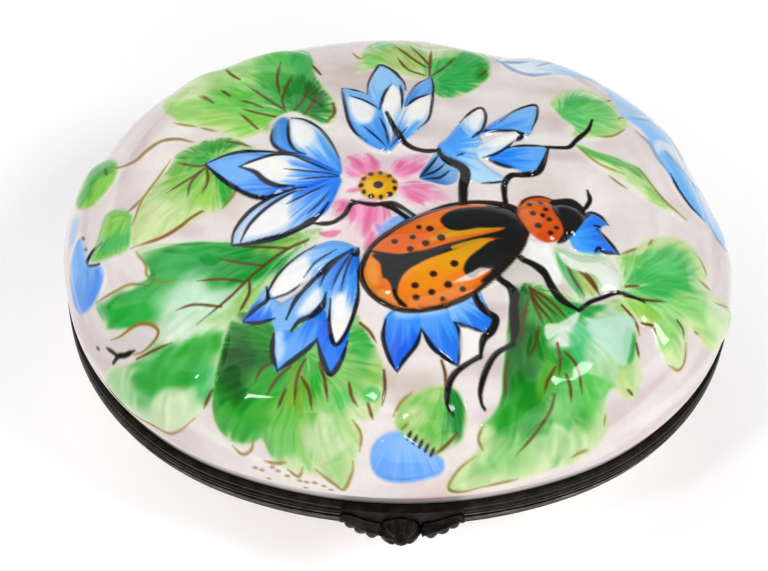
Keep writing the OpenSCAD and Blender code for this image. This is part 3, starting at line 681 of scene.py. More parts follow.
def upper_leaves(lid):
    """The leaves behind the flowers, from left to right."""
    left = [(-27.8, 13.4), (-28.8, 15), (-29.4, 17.4), (-28, 20.2), (-25.6, 22.6), (-22.5, 24.4),
        (-19, 25.9), (-15, 26.6), (-12, 25.2), (-10.8, 22.6), (-10.5, 19.6), (-9.4, 16.6), (-8.1, 14.2),
        (-7.7, 12), (-8.1, 10.3), (-9.2, 9.7), (-11, 11), (-13, 12.2), (-15.4, 10.8), (-15.8, 9), (-17, 8.6),
        (-19, 8), (-21, 9.2), (-23.4, 10.6), (-26, 11.4)]
    leaf(lid, left, (-12.4, 12), (196, 222, 140), ((112, 196, 84), 0.6),
        [(-13.4, 17.4, 4.4, 7.2, 8, (50, 164, 60), 0.95), (-11, 14.4, 2.6, 4.6, 10, (16, 128, 34), 0.95),
         (-15.4, 22, 3, 3.4, 0, (84, 196, 76), 0.9), (-12.4, 22.6, 1.6, 2.6, 0, (50, 176, 84), 0.8),
         (-19.8, 14.4, 4, 3.6, -20, (96, 196, 66), 0.85), (-17.4, 10.6, 2.4, 1.6, 20, (120, 206, 64), 0.85),
         (-22, 12, 3, 1.2, -14, (160, 206, 96), 0.8), (-20, 21.6, 3, 3, 30, (176, 222, 136), 0.8),
         (-26, 18.6, 3.4, 3.4, -20, (210, 230, 172), 0.85), (-26.6, 14.4, 2.6, 1.6, 0, (150, 208, 100), 0.7),
         (-10.4, 15, 0.9, 3.4, 8, (12, 96, 16), 0.8)],
        [[(-13.8, 12.4), (-15.6, 14.2), (-18.6, 17.6)], [(-14, 13), (-14.2, 15), (-13.2, 19.4)],
         [(-14.6, 15.8), (-15, 18.6), (-14.8, 22.4)], [(-12.8, 12.4), (-11.6, 14.6), (-11.2, 17.4)],
         [(-11.6, 11.6), (-10.6, 13.4), (-10.2, 15.6)], [(-15, 11.4), (-17, 12.2), (-19, 13.2)],
         [(-16.6, 13.2), (-18, 14.2), (-19.4, 14.9)], [(-17, 9.4), (-18.2, 11), (-19.3, 12.5)],
         [(-20.6, 15.8), (-21.8, 17.2)], [(-19.6, 19), (-20.8, 20.4), (-21.8, 22.6)],
         [(-8.2, 13.6), (-8, 11.6), (-9, 9.9)], [(-9.8, 19.4), (-11, 21.8)], [(-22.6, 14.8), (-24, 16.4)]],
        [[(-27.3, 12), (-26, 11.4), (-24.4, 10.8)], [(-24.4, 16.4), (-23.2, 15.2)],
         [(-24, 10.6), (-22, 9.6)]], height=1.0, shoulder=2.4, lump=0.3, seed=21)

    top = [(-5.4, 20), (-5, 23), (-4, 25.6), (-1.6, 27.4), (1, 27), (3.4, 25.6), (6, 26), (9, 26),
        (10.9, 23.8), (11.1, 20.6), (10.2, 18.2), (8.2, 15.9), (6, 14.6), (4.3, 15), (3.8, 17), (3, 18.5),
        (1, 18.8), (-1, 19.6), (-3, 20.6)]
    leaf(lid, top, (3.6, 17.4), (190, 214, 140), ((120, 186, 80), 0.5),
        [(7.2, 19.8, 3.6, 5.6, -18, (46, 172, 76), 1), (5.2, 16.6, 1.6, 2, 0, (36, 160, 70), 0.85),
         (0.6, 22.4, 2.6, 3, 0, (168, 196, 104), 0.75), (-2.6, 25.8, 1.8, 1.2, -20, (110, 200, 110), 0.85),
         (-3.4, 22, 1.3, 2, 10, (110, 200, 80), 0.8), (4.6, 24.4, 1.6, 2, 0, (206, 224, 170), 0.8),
         (10, 20.4, 0.8, 2, -10, (14, 140, 20), 0.8)],
        [[(3.5, 18.8), (3.6, 21.4), (3.9, 24.8)], [(3.8, 19), (5.4, 20.8), (6.8, 23)],
         [(3, 19), (0.9, 20.2), (-0.4, 22.8)], [(3.4, 21.4), (2.4, 23.4), (1.2, 25.6)],
         [(3, 20.8), (1.6, 22.4), (-0.6, 25.4)], [(10.6, 20.6), (9.4, 19)]],
        [[(-6, 24.2), (-5, 22.8), (-4, 23.4)]], height=0.95, shoulder=2.2, lump=0.25, seed=24)

    right = [(18.1, 14.8), (19, 16.6), (21, 18.1), (23, 18.5), (25.4, 17.4), (27, 15), (27.3, 12.4),
        (25.6, 10.4), (23, 9.4), (20.4, 9), (20.6, 10.8), (19.2, 12.4)]
    leaf(lid, right, (19, 12.6), (196, 224, 150), ((96, 196, 98), 0.6),
        [(21.4, 14, 3, 3.8, -10, (62, 180, 84), 0.95), (23.8, 13.4, 2, 2.6, 0, (120, 206, 112), 0.8),
         (24, 10.8, 2.4, 1, 10, (150, 214, 120), 0.7), (19.6, 12.4, 1.2, 1.6, 0, (60, 180, 70), 0.8)], [],
        [[(23.2, 9.6), (25.2, 10), (27, 11.6)], [(26.2, 13.2), (27.1, 14)], [(25, 16.6), (26, 17.2)]],
        height=0.85)
    slender = [(20.4, 8), (23, 7), (26, 6.2), (28.4, 4.8), (29.8, 2), (31, 0.2), (33.4, -1.7), (31, -1.2),
        (28.6, 0), (26.4, 2.2), (23.6, 4.2), (21.6, 6)]
    leaf(lid, slender, (32.4, -1.4), (212, 230, 176), ((110, 196, 90), 0.4),
        [(24.2, 6.2, 3.6, 1.1, -24, (70, 180, 60), 0.95), (27.4, 4.6, 1.8, 1, -40, (96, 180, 60), 0.9),
         (29.6, 1, 1, 2.2, 22, (150, 210, 100), 0.8)], [],
        [[(20.8, 7.4), (23, 5), (26, 3.6)], [(28, 5.2), (29.4, 2.4), (31, 0), (33.2, -1.8)],
         [(24.2, 3.2), (25.2, 2.2), (26.2, 1.4)]], height=0.7, shoulder=1.4)


def blossom(lid, petals, whites, inks, height=0.75, shoulder=1.1):
    """A flower.

    Petals are outline, root, tip and the colours near the root and far from it; whites are soft
    patches with their strength; inks are line widths with their lines.
    """
    for outline, root, tip, near, far in petals:
        lid.petal(outline, root, tip, near, far)
        lid.rise(outline, height, shoulder)
    for outline, strength in whites:
        lid.fill(outline, WHITE, 0.9, strength)
    for width, line in inks:
        lid.stroke(line, width * INK_WIDTH, INK, 0.96, (0.4, 0.3), soft=0.13)


def left_flower(lid):
    """The blue flower on the left of the pink one."""
    heart = (-7.3, 0.9)
    blossom(lid,
        [([(-15.3, 9.4), (-14.4, 11.2), (-13.4, 10.8), (-13.2, 8), (-12.6, 6), (-11, 4.6), (-13.4, 4.9),
           (-15, 6.4)], (-12, 5), (-14, 11), BLUE, (66, 140, 214)),
         ([(-13.3, 11), (-11.6, 10.6), (-9.6, 9), (-8.2, 6.4), (-7.2, 3.8), (-7.1, 1.2), (-9, 3),
           (-11.4, 4.8), (-12.7, 6), (-13.3, 8.2)], heart, (-12.4, 10.6), BLUE, (214, 232, 246)),
         ([(-22.7, 4.2), (-20.4, 5.2), (-18, 5.6), (-15, 5.4), (-12, 4.9), (-9, 3), (-7.2, 1), (-10, -0.8),
           (-13, -0.6), (-15, -1.8), (-16.6, -1.8), (-18.6, -0.6), (-20.4, 1.2)], heart, (-22, 4), ROYAL,
          (112, 178, 246)),
         ([(-18.8, 3.2), (-17, 4), (-14.4, 4.7), (-12, 4.4), (-9.6, 2.6), (-7.2, 1), (-10, 0.2),
           (-12.2, -0.4), (-14.2, -0.2), (-15.8, 0.8), (-16.8, 2.1)], heart, (-17, 3.4), (40, 134, 246),
          WHITE),
         ([(-19.2, -8.2), (-18.9, -6), (-17.4, -3.8), (-15.4, -2.1), (-13, -0.9), (-10.4, -0.7), (-7.1, 0.8),
           (-8, -3), (-9.2, -4.9), (-11.8, -6.4), (-15, -7.8), (-17.8, -8.4)], heart, (-17, -7),
          (40, 132, 244), (188, 212, 236))],
        [([(-12.7, 10.2), (-11.4, 9.8), (-10.4, 8), (-10.9, 6.2), (-12, 5.9), (-12.9, 8)], 0.9),
         ([(-17.8, 3.3), (-15.6, 4.2), (-13.4, 3.9), (-13, 2), (-14, 0.4), (-15.2, 1), (-16.4, 2.4)], 0.95),
         ([(-18, -7.3), (-16.4, -4.8), (-14.4, -2.9), (-12.6, -1.7), (-13, -4), (-12.8, -5.6), (-15, -7)],
          0.95)],
        [(0.55, [(-15.3, 9.3), (-15.3, 7.4), (-14.8, 6.2), (-13.6, 5.2), (-12, 4.8)]),
         (0.55, [(-13.4, 10.8), (-13.3, 8), (-12.9, 6.2), (-12.2, 5.2), (-11.2, 4.7)]),
         (0.5, [(-13.2, 11.1), (-11.4, 10.6), (-9.6, 8.8), (-8.2, 6.2), (-7.3, 3.8)]),
         (0.6, [(-22.8, 4.1), (-20.4, 5.3), (-18, 5.7), (-15, 5.3), (-12.6, 4.6), (-10.6, 3.6)]),
         (0.8, [(-22.8, 4), (-21.4, 2.2), (-20, 0.7), (-18, -1), (-16.2, -1.8), (-14.4, -1.6), (-13, -0.9)]),
         (0.55, [(-18.9, 3.2), (-17, 4.1), (-14.6, 4.8), (-12.4, 4.4)]),
         (0.85, [(-18.8, 3.2), (-17, 2.2), (-15.8, 0.8), (-14.4, -0.1), (-12.4, -0.3)]),
         (0.7, [(-19.2, -8.2), (-19, -6.4), (-17.6, -4), (-15.4, -2), (-12.8, -0.8), (-11, -0.6)]),
         (0.55, [(-18.2, -8), (-17.2, -5.6), (-15.4, -3.4), (-13.2, -1.7), (-11.4, -0.9)]),
         (0.95, [(-19, -8.4), (-16.6, -8.2), (-13.6, -7.5), (-11, -6.1), (-9.4, -4.7), (-8.4, -3)]),
         (0.3, [(-13.6, 2.4), (-11, 1.9), (-8.6, 1.4), (-7.2, 1)]),
         (0.3, [(-12.6, 4.4), (-10, 2.8), (-8, 1.6)]), (0.3, [(-13.2, -3), (-10.8, -1.6), (-8.6, -0.2)]),
         (0.28, [(-12, 0.6), (-9.8, 0.8), (-7.4, 0.9)]), (0.26, [(-10.8, -4.6), (-9.4, -3), (-8.4, -1.4)])])


def low_left_flower(lid):
    """The blue flower that hangs down in front of the beetle's tail."""
    heart = (-5.6, -9.6)
    blossom(lid,
        [([(-9.6, -8.9), (-11.8, -10.2), (-13.8, -12.4), (-14.8, -14.6), (-15.1, -15.9), (-12.8, -15.3),
           (-10.8, -13.8), (-8, -11.6), (-5.4, -9.5), (-7.4, -8.4)], heart, (-15, -15), (96, 168, 244),
          WHITE),
         ([(-15, -14.1), (-16.2, -15.8), (-17.6, -18.4), (-16, -18.8), (-14, -18.4), (-13.4, -16.6),
           (-14.4, -15.4)], (-14.4, -15), (-17, -18), (140, 190, 244), (26, 112, 238)),
         ([(-14.2, -17), (-12.4, -15.6), (-10.6, -14), (-9.6, -12), (-8.6, -14.6), (-9, -17), (-10.4, -18.4),
           (-12.4, -19.6), (-14, -19.6)], heart, (-14, -19), (150, 196, 246), (120, 178, 240)),
         ([(-14, -19.6), (-14.2, -22.4), (-13.7, -24.5), (-12, -23.4), (-10.4, -22), (-9.2, -20.9),
           (-8.4, -17.4), (-10, -18.2), (-12, -19.8)], (-9, -16), (-13.6, -24), (26, 120, 236),
          (96, 166, 246)),
         ([(-9.4, -20.6), (-8.9, -23.2), (-7.9, -25), (-6.8, -23.5), (-6.1, -21.2), (-6.1, -19.4), (-8, -18)],
          (-7, -17), (-8, -24.4), (24, 92, 220), (30, 122, 240)),
         ([(-5.4, -9.3), (-8, -11.2), (-9.4, -13.6), (-9.2, -16), (-8, -18), (-6, -16), (-5, -13),
           (-4.9, -10.6)], heart, (-8, -17), (30, 112, 226), (96, 172, 246)),
         ([(-8, -15.8), (-8.2, -19), (-7.5, -21.6), (-6.4, -20.4), (-5.5, -18), (-5, -15.6), (-5.2, -13),
           (-6.4, -13.4)], (-5.6, -12), (-7.4, -21), (60, 146, 242), WHITE)],
        [([(-14.2, -13.8), (-12.6, -11.6), (-10.8, -10.4), (-10.4, -12.4), (-12, -14.4), (-14.4, -15)], 0.9),
         ([(-11.6, -17.8), (-10.6, -15.8), (-9.3, -14.6), (-9, -16.4), (-10.2, -17.6)], 0.9),
         ([(-13.9, -20), (-13.2, -19.8), (-12.9, -22), (-13.4, -23.4), (-13.9, -22.6)], 0.6),
         ([(-7.8, -16.2), (-6.6, -15.4), (-6.2, -18), (-7.2, -20.8), (-7.8, -19.4)], 0.95)],
        [(0.45, [(-9.8, -9), (-12, -10.6), (-13.8, -12.6), (-14.8, -14.6), (-15.1, -16)]),
         (0.3, [(-15, -15.9), (-12.8, -15.2), (-11.2, -14)]),
         (0.6, [(-15.1, -14.2), (-14.9, -15.8), (-16, -16.8), (-17.5, -18.3)]),
         (0.6, [(-17.5, -18.5), (-15.8, -18.7), (-14, -18.2)]),
         (0.7, [(-12.8, -18.4), (-11.9, -16.2), (-10.8, -14.6), (-9.4, -13), (-7.8, -11.2), (-5.6, -9.6)]),
         (0.9, [(-12.2, -19.8), (-11.4, -18.7), (-10, -18), (-8.9, -16.8), (-8.5, -15.2)]),
         (0.7, [(-14.1, -20), (-14.2, -22.4), (-13.6, -24.4)]),
         (0.75, [(-13.6, -24.4), (-12, -23.3), (-10.4, -22), (-9.3, -20.8)]),
         (0.7, [(-9.4, -21), (-8.8, -23.2), (-7.9, -25), (-6.8, -23.5), (-6.1, -21.2)]),
         (0.6, [(-8, -16), (-8.1, -19), (-7.5, -21.6), (-6.4, -20.4), (-5.5, -18), (-5, -15.4),
                (-5.1, -12.4)]),
         (0.5, [(-5.5, -9.5), (-7.2, -10.9), (-8.6, -12.8), (-9.2, -14.4)]),
         (0.3, [(-5.6, -9.8), (-7, -12.4), (-8, -15)]), (0.3, [(-5.5, -10), (-6.4, -12.6), (-6.9, -15)]),
         (0.26, [(-7.4, -9.6), (-9.6, -11.2), (-11, -13.2)]),
         (0.6, [(-5, -9.4), (-5.2, -10.4), (-5.9, -10.2)])])


def top_flowers(lid):
    """The two blue flowers behind the beetle, the slate petal, and the pale blue petals at the back."""
    heart = (-1.6, 5)
    blossom(lid,
        [([(-7.2, 16.4), (-6.7, 12.5), (-6.2, 9.8), (-5.2, 7.4), (-3.4, 5.6), (-1.4, 5), (-1.6, 8.4),
           (-2.4, 12.4), (-4, 15.2), (-5.6, 16)], heart, (-6.4, 15), BLUE, (120, 182, 246)),
         ([(-4.1, 15), (-3.9, 17.6), (-3.1, 20.3), (-2.4, 21.1), (-1, 20), (0.2, 17.8), (0.4, 15.4),
           (-0.4, 11), (-2.4, 12.2)], (-1.6, 9), (-2.4, 20.6), (96, 164, 240), (148, 202, 248)),
         ([(3.7, 18.7), (4, 16.6), (3.7, 15.2), (2, 14.2), (0.4, 12.6), (0.7, 15), (1.8, 17.2), (3, 18.4)],
          (0.6, 12), (3.6, 18.6), (64, 140, 230), (110, 172, 230)),
         ([(3.6, 15.2), (3.7, 12.6), (3.1, 10), (1.4, 7.8), (-0.4, 6.2), (-1.4, 5), (-1, 8), (0, 11.6),
           (1.6, 14.2)], heart, (3, 14), BLUE, WHITE),
         ([(-2.3, 12.8), (-1.9, 15.4), (-1.1, 16.9), (-0.2, 15.6), (0.1, 13.4), (-0.3, 10.6), (-1.4, 8)],
          heart, (-1, 16), (150, 200, 248), WHITE)],
        [([(-6.2, 14.4), (-4.6, 13.8), (-3.2, 12.2), (-3.6, 10), (-5, 9.6), (-6, 11.6)], 0.95),
         ([(-1.8, 13.4), (-1.2, 15.6), (-0.5, 14.8), (-0.4, 12.6), (-1.2, 11.4)], 0.9),
         ([(3.3, 14.2), (3.2, 12), (2.2, 10.2), (1, 11.2), (1.4, 13.2), (2.4, 14.4)], 0.9)],
        [(0.5, [(-7.2, 16.4), (-6.7, 12.6), (-6.2, 9.8), (-5.3, 7.8), (-4, 6.4)]),
         (0.35, [(-7.2, 16.4), (-5.6, 16), (-4.2, 15.2)]),
         (0.35, [(-6.2, 14.8), (-4.4, 13.8), (-2.6, 12.2)]),
         (0.45, [(-4.1, 15), (-3.9, 17.6), (-3, 20.4), (-2.4, 21.2), (-1, 20.1), (0.3, 17.8), (0.6, 16)]),
         (0.5, [(-2.6, 12.2), (-2, 15.2), (-1.2, 16.9)]), (0.4, [(-0.1, 16.8), (0.1, 14.4), (0, 12.4)]),
         (0.5, [(0.6, 12.8), (1.8, 14.3), (3.6, 15.3)]),
         (0.4, [(3.7, 18.7), (3.9, 16.6), (3.6, 13), (3.1, 10.4), (1.8, 8.6)]),
         (0.4, [(3.5, 18.6), (2, 17.2), (0.9, 15)]), (0.35, [(-2.6, 10.6), (-1.9, 8.4), (-1.6, 6)]),
         (0.3, [(-4.4, 9), (-3, 7.2), (-1.9, 5.6)]), (0.3, [(0.6, 9), (-0.4, 7.2), (-1.3, 5.6)])])
    lid.stroke([(-1.8, 11.6), (-1, 9.2), (0, 6.8), (1.2, 5.5), (2.8, 5), (4.4, 5.2)], 0.75, BLACK, 0.97,
        (0.5, 0.8), lift=0.15)

    heart = (5, 4)
    blossom(lid,
        [([(4.1, 5.6), (5.3, 7.4), (7, 10), (8.4, 9), (9.4, 7), (9, 4), (12.3, 0.6), (8.4, 0.2), (6.8, 1.6),
           (6, 3.4)], (4.4, 5), (10, 3), (70, 160, 248), (176, 216, 246)),
         ([(6.8, 10), (8.2, 12), (9.5, 13.1), (10, 12), (9.8, 10.2), (9.2, 8.4), (8.1, 7.4)], (8, 8),
          (9.4, 12.6), (150, 196, 240), WHITE),
         ([(8.1, 7.4), (9.8, 9.4), (11.8, 11.4), (14, 13.3), (16.2, 14.3), (16.5, 13), (15.8, 10.4),
           (14.8, 8.4), (12.4, 8.9), (10, 8.4)], (8.4, 7.6), (16, 13.6), (58, 140, 238), (120, 184, 246)),
         ([(8.6, 5.4), (10.4, 7.7), (12, 8.7), (13.6, 9.1), (14.4, 8.4), (13.2, 7.4), (12.3, 6.2), (11, 5.2),
           (9.4, 4.2)], heart, (14, 8.6), (170, 210, 246), WHITE),
         ([(10, 4), (11.2, 5.2), (12.6, 6.4), (14.6, 6.8), (17, 6.8), (16.8, 4.8), (16, 3), (14.6, 2.2),
           (12, 3.2)], (10.4, 4), (16.6, 5.6), (22, 130, 250), (96, 172, 246))],
        [([(7.6, 10.2), (9.2, 12.2), (9.3, 10), (8.6, 8.6)], 0.8),
         ([(10.6, 7), (12.4, 8.4), (13.2, 8.2), (12, 6.8), (10.4, 5.8)], 0.85)],
        [(0.5, [(6.9, 10.1), (8.2, 12), (9.5, 13), (10, 11.8), (9.8, 10), (9.1, 8.4), (8.2, 7.4)]),
         (0.5, [(8.2, 7.5), (9.2, 8.6), (10.4, 8.8), (12, 9), (13.6, 9.1), (14.4, 8.4)]),
         (0.9, [(13.6, 9), (14.2, 8.4), (13.4, 7.4)]),
         (0.4, [(13.2, 7.4), (12.2, 6.2), (10.8, 5), (9.3, 4.2)]),
         (0.5, [(11.6, 10.6), (13.2, 12.4), (15, 13.8), (16.3, 14.2), (16.2, 12), (15.4, 9.6)]),
         (0.6, [(10.1, 3.8), (11.6, 3.2), (13, 2.8)]), (0.6, [(12.4, 6.2), (14.4, 6.7), (17, 6.9)]),
         (0.35, [(9, 0.2), (10.4, 0.3), (11.8, 0.7)]), (0.3, [(6.2, 4.2), (7.2, 4.8)])], height=0.7)
    lid.petal([(1.9, 0.8), (2.8, 2.8), (4, 4.8), (5.6, 3.9), (6.4, 2.4), (6.2, 0.4), (5, -0.3), (3.2, 0.1)],
        (2, 0.8), (5.4, 3.4), (58, 120, 190), (124, 172, 222))
    for line in [[(2, 0.8), (3.2, 2.6), (4.2, 4.4)], [(2.2, 0.9), (3.8, 1.8), (4.9, 3)],
            [(2.6, 0.6), (4.2, 0.8), (5.4, 1.9)]]:
        lid.stroke(line, 0.34, INK, 0.85)

    petals = [([(27.4, 14), (29.2, 12), (30.2, 9.6), (31.4, 5.6), (32.8, 2.2), (34.8, 0), (36.4, -0.4),
        (37.2, 1.6), (37.3, 5), (36.6, 10), (34.4, 15), (32, 17.4), (29.4, 16.4)], (28, 14), (36, 0.6),
        (150, 204, 250), (110, 188, 250)),
        ([(36.6, 0), (38.4, -1.6), (40.4, -1.8), (42.2, 0.4), (42.8, 4), (41.6, 9), (39.4, 12.8), (36.8, 13),
          (37, 7)], (36, 12), (40.4, -1), (196, 226, 250), (156, 204, 250)),
        ([(27, 14), (30, 16.4), (33.6, 18.4), (34, 21), (30.4, 25), (27, 25.6), (25.4, 22.6), (25.6, 18.6),
          (26.4, 16)], (28, 15), (28, 25), (176, 208, 246), (206, 226, 250)),
        ([(12.2, 23.1), (14, 21.3), (16, 20.4), (18.6, 21), (22, 21.4), (25.6, 22), (27.6, 25), (24.4, 27.6),
          (20, 28.6), (17, 27.6), (15, 25.6)], (25, 23), (13, 23), (168, 210, 248), (224, 236, 246)),
        ([(33.6, 19), (37, 15), (40, 11.5), (42.4, 10.6), (41.6, 14.6), (37.6, 20), (34, 24), (31.6, 25)],
         (31, 16), (39, 17), (160, 208, 250), (190, 224, 250))]
    blossom(lid, petals,
        [([(30.4, 8), (32, 9.4), (34.4, 7.4), (38, 6.8), (40.2, 8.8), (38, 12), (33.6, 11.4), (31, 11)],
          0.75)], [(0.5, [(31.9, 5.2), (32.8, 2.6), (34.2, 0.6), (36, -0.4)])], height=0.4, shoulder=1.8)
    grey_blue = (128, 150, 180)
    for width, line in [(0.5, [(28.4, 11.6), (29.8, 10), (30.6, 7.6), (31.8, 5)]),
            (0.4, [(28, 14), (30.6, 15.2), (33, 17.2)]),
            (0.5, [(37, -0.2), (38.6, -1.7), (40.4, -1.9), (42, 0)]),
            (0.5, [(31.8, 9.2), (33.6, 6.9), (36.4, 6), (39, 7.2), (40.6, 9)]),
            (0.6, [(12.1, 23.2), (14, 21.2), (16, 20.4), (18.6, 21)]),
            (0.5, [(12.3, 22.8), (14.4, 22.9), (16, 23.4)]), (0.4, [(17, 22.4), (19, 24.6), (19.6, 27)])]:
        lid.stroke(line, width, grey_blue, 0.8, soft=0.35)


# Middle of the pink flower's yolk-coloured disc
DISC = (-2.8, -0.5)


def pink_flower(lid):
    """The small pink flower with its yolk-coloured disc, under the other flowers' roots."""
    for outline in [[(-7, 2.8), (-6.2, 4.4), (-4.4, 4.9), (-2.8, 3.6), (-2.4, 1.6), (-4.6, 0.6), (-6.4, 0.6)],
            [(-1.4, 1.6), (-0.8, 3.6), (1, 4.6), (3, 4.6), (3.4, 2.8), (1.4, 1.2), (0, 0.4)],
            [(-0.4, -0.6), (1.4, 0.6), (4, -0.4), (5.6, -2.4), (4.6, -3.6), (2, -3.8), (0.2, -2.6)],
            [(-4.8, -2.4), (-1.4, -3), (-1, -5.4), (-2.6, -7.6), (-3.8, -9.6), (-5.2, -8.4), (-6.4, -6.4),
             (-6.2, -4)], [(-8.2, -3), (-6.6, -2.4), (-5, -3.4), (-5.6, -5.4), (-7.6, -5.6), (-8.4, -4.6)]]:
        lid.fill(outline, (240, 206, 218), 1.8, 0.8)
        u, v = 0.75 * np.mean(outline, 0) + 0.25 * np.array(DISC)
        lid.brushed(outline, DISC, ((238, 138, 184), 0.9), [(u, v, 2.1, 1.7, 0, (232, 104, 164), 0.75)], 1.1)
        lid.rise(outline, 0.3, 1.5)
    brushes = [((-6.2, 4), (-4.6, 2.4)), ((-5.4, 4.2), (-3.8, 2.6)), ((-4, 4.4), (-3, 2.4)),
        ((-6.6, 2.4), (-5, 1.2)), ((-0.6, 2.2), (-0.2, 3.4)), ((0.4, 2.8), (1.8, 4)), ((0.8, 1.4), (2.6, 3)),
        ((1, -1), (4.4, -2.6)), ((0.6, -1.8), (2.4, -3.4)), ((2.6, -1.8), (5, -2.6)), ((-5.6, -4), (-6, -6)),
        ((-4.6, -3.6), (-5.4, -6.6)), ((-3.8, -4), (-4.4, -7.8)), ((-2.6, -4), (-3, -7)),
        ((-6.8, -3.2), (-7.4, -4.4)), ((-7.4, -2.8), (-7.8, -4.2)), ((-5, -1), (-6.4, -1.4)),
        ((-2, -6), (-3.8, -9)), ((-3.4, -7.4), (-4.4, -9.6))]
    for n, (a, b) in enumerate(brushes):
        lid.stroke([a, ((a[0] + b[0]) / 2 + 0.15, (a[1] + b[1]) / 2), b], 0.7, (ROSE, PINK)[n % 2], 0.7,
            (0.5, 0.2), 0.55)
    lid.stroke([(-9.2, -7.4), (-8.2, -7.5), (-7.2, -7.2)], 1, (232, 110, 150), 0.85, (0.5, 0.4), 0.4)
    lid.stroke([(-2.9, -6.4), (-2.2, -7.4)], 0.9, (150, 130, 226), 0.7, (0.4, 0.4), 0.5)
    lid.petal([(-2.8, -7.4), (-1.6, -5.6), (0.4, -4.6), (1.4, -5.2), (0, -6.6), (-1.6, -8)], (1, -5),
        (-2, -7.4), (110, 170, 240), (150, 190, 246), soft=0.5)
    disc = circle(*DISC, 2.25, 2.15, np.linspace(0, 2 * math.pi, 12, endpoint=False))
    lid.fill(disc, YOLK, 0.3)
    lid.dabs(disc,
        [(-3.4, -1, 1.3, 1.2, 0, (236, 184, 24), 0.8), (-2, 0.9, 1.4, 0.8, -30, (214, 148, 10), 0.7)])
    lid.rise(disc, 0.85, 1.5)
    seeds = 11
    places = circle(*DISC, 1.95, 1.85, [2 * math.pi * k / seeds + 0.3 for k in range(seeds)])
    for k, place in enumerate(places):
        seed = circle(*place, 0.3 + 0.06 * math.sin(3 * k), 0.34, np.arange(0, ALMOST_ROUND, 0.9))
        lid.fill(seed, (44, 26, 8), 0.14, 0.95)
    lid.fill(circle(*DISC, 0.56, 0.56, np.arange(0, ALMOST_ROUND, 0.7)), (44, 30, 8), 0.14)
    lid.stroke([(-5.8, -2.7), (-4.8, -3.1), (-3.2, -3.4), (-1.6, -3.1), (-0.4, -3.6), (1.6, -5.2)], 0.6,
        BLACK, 0.92, (0.5, 0.6))


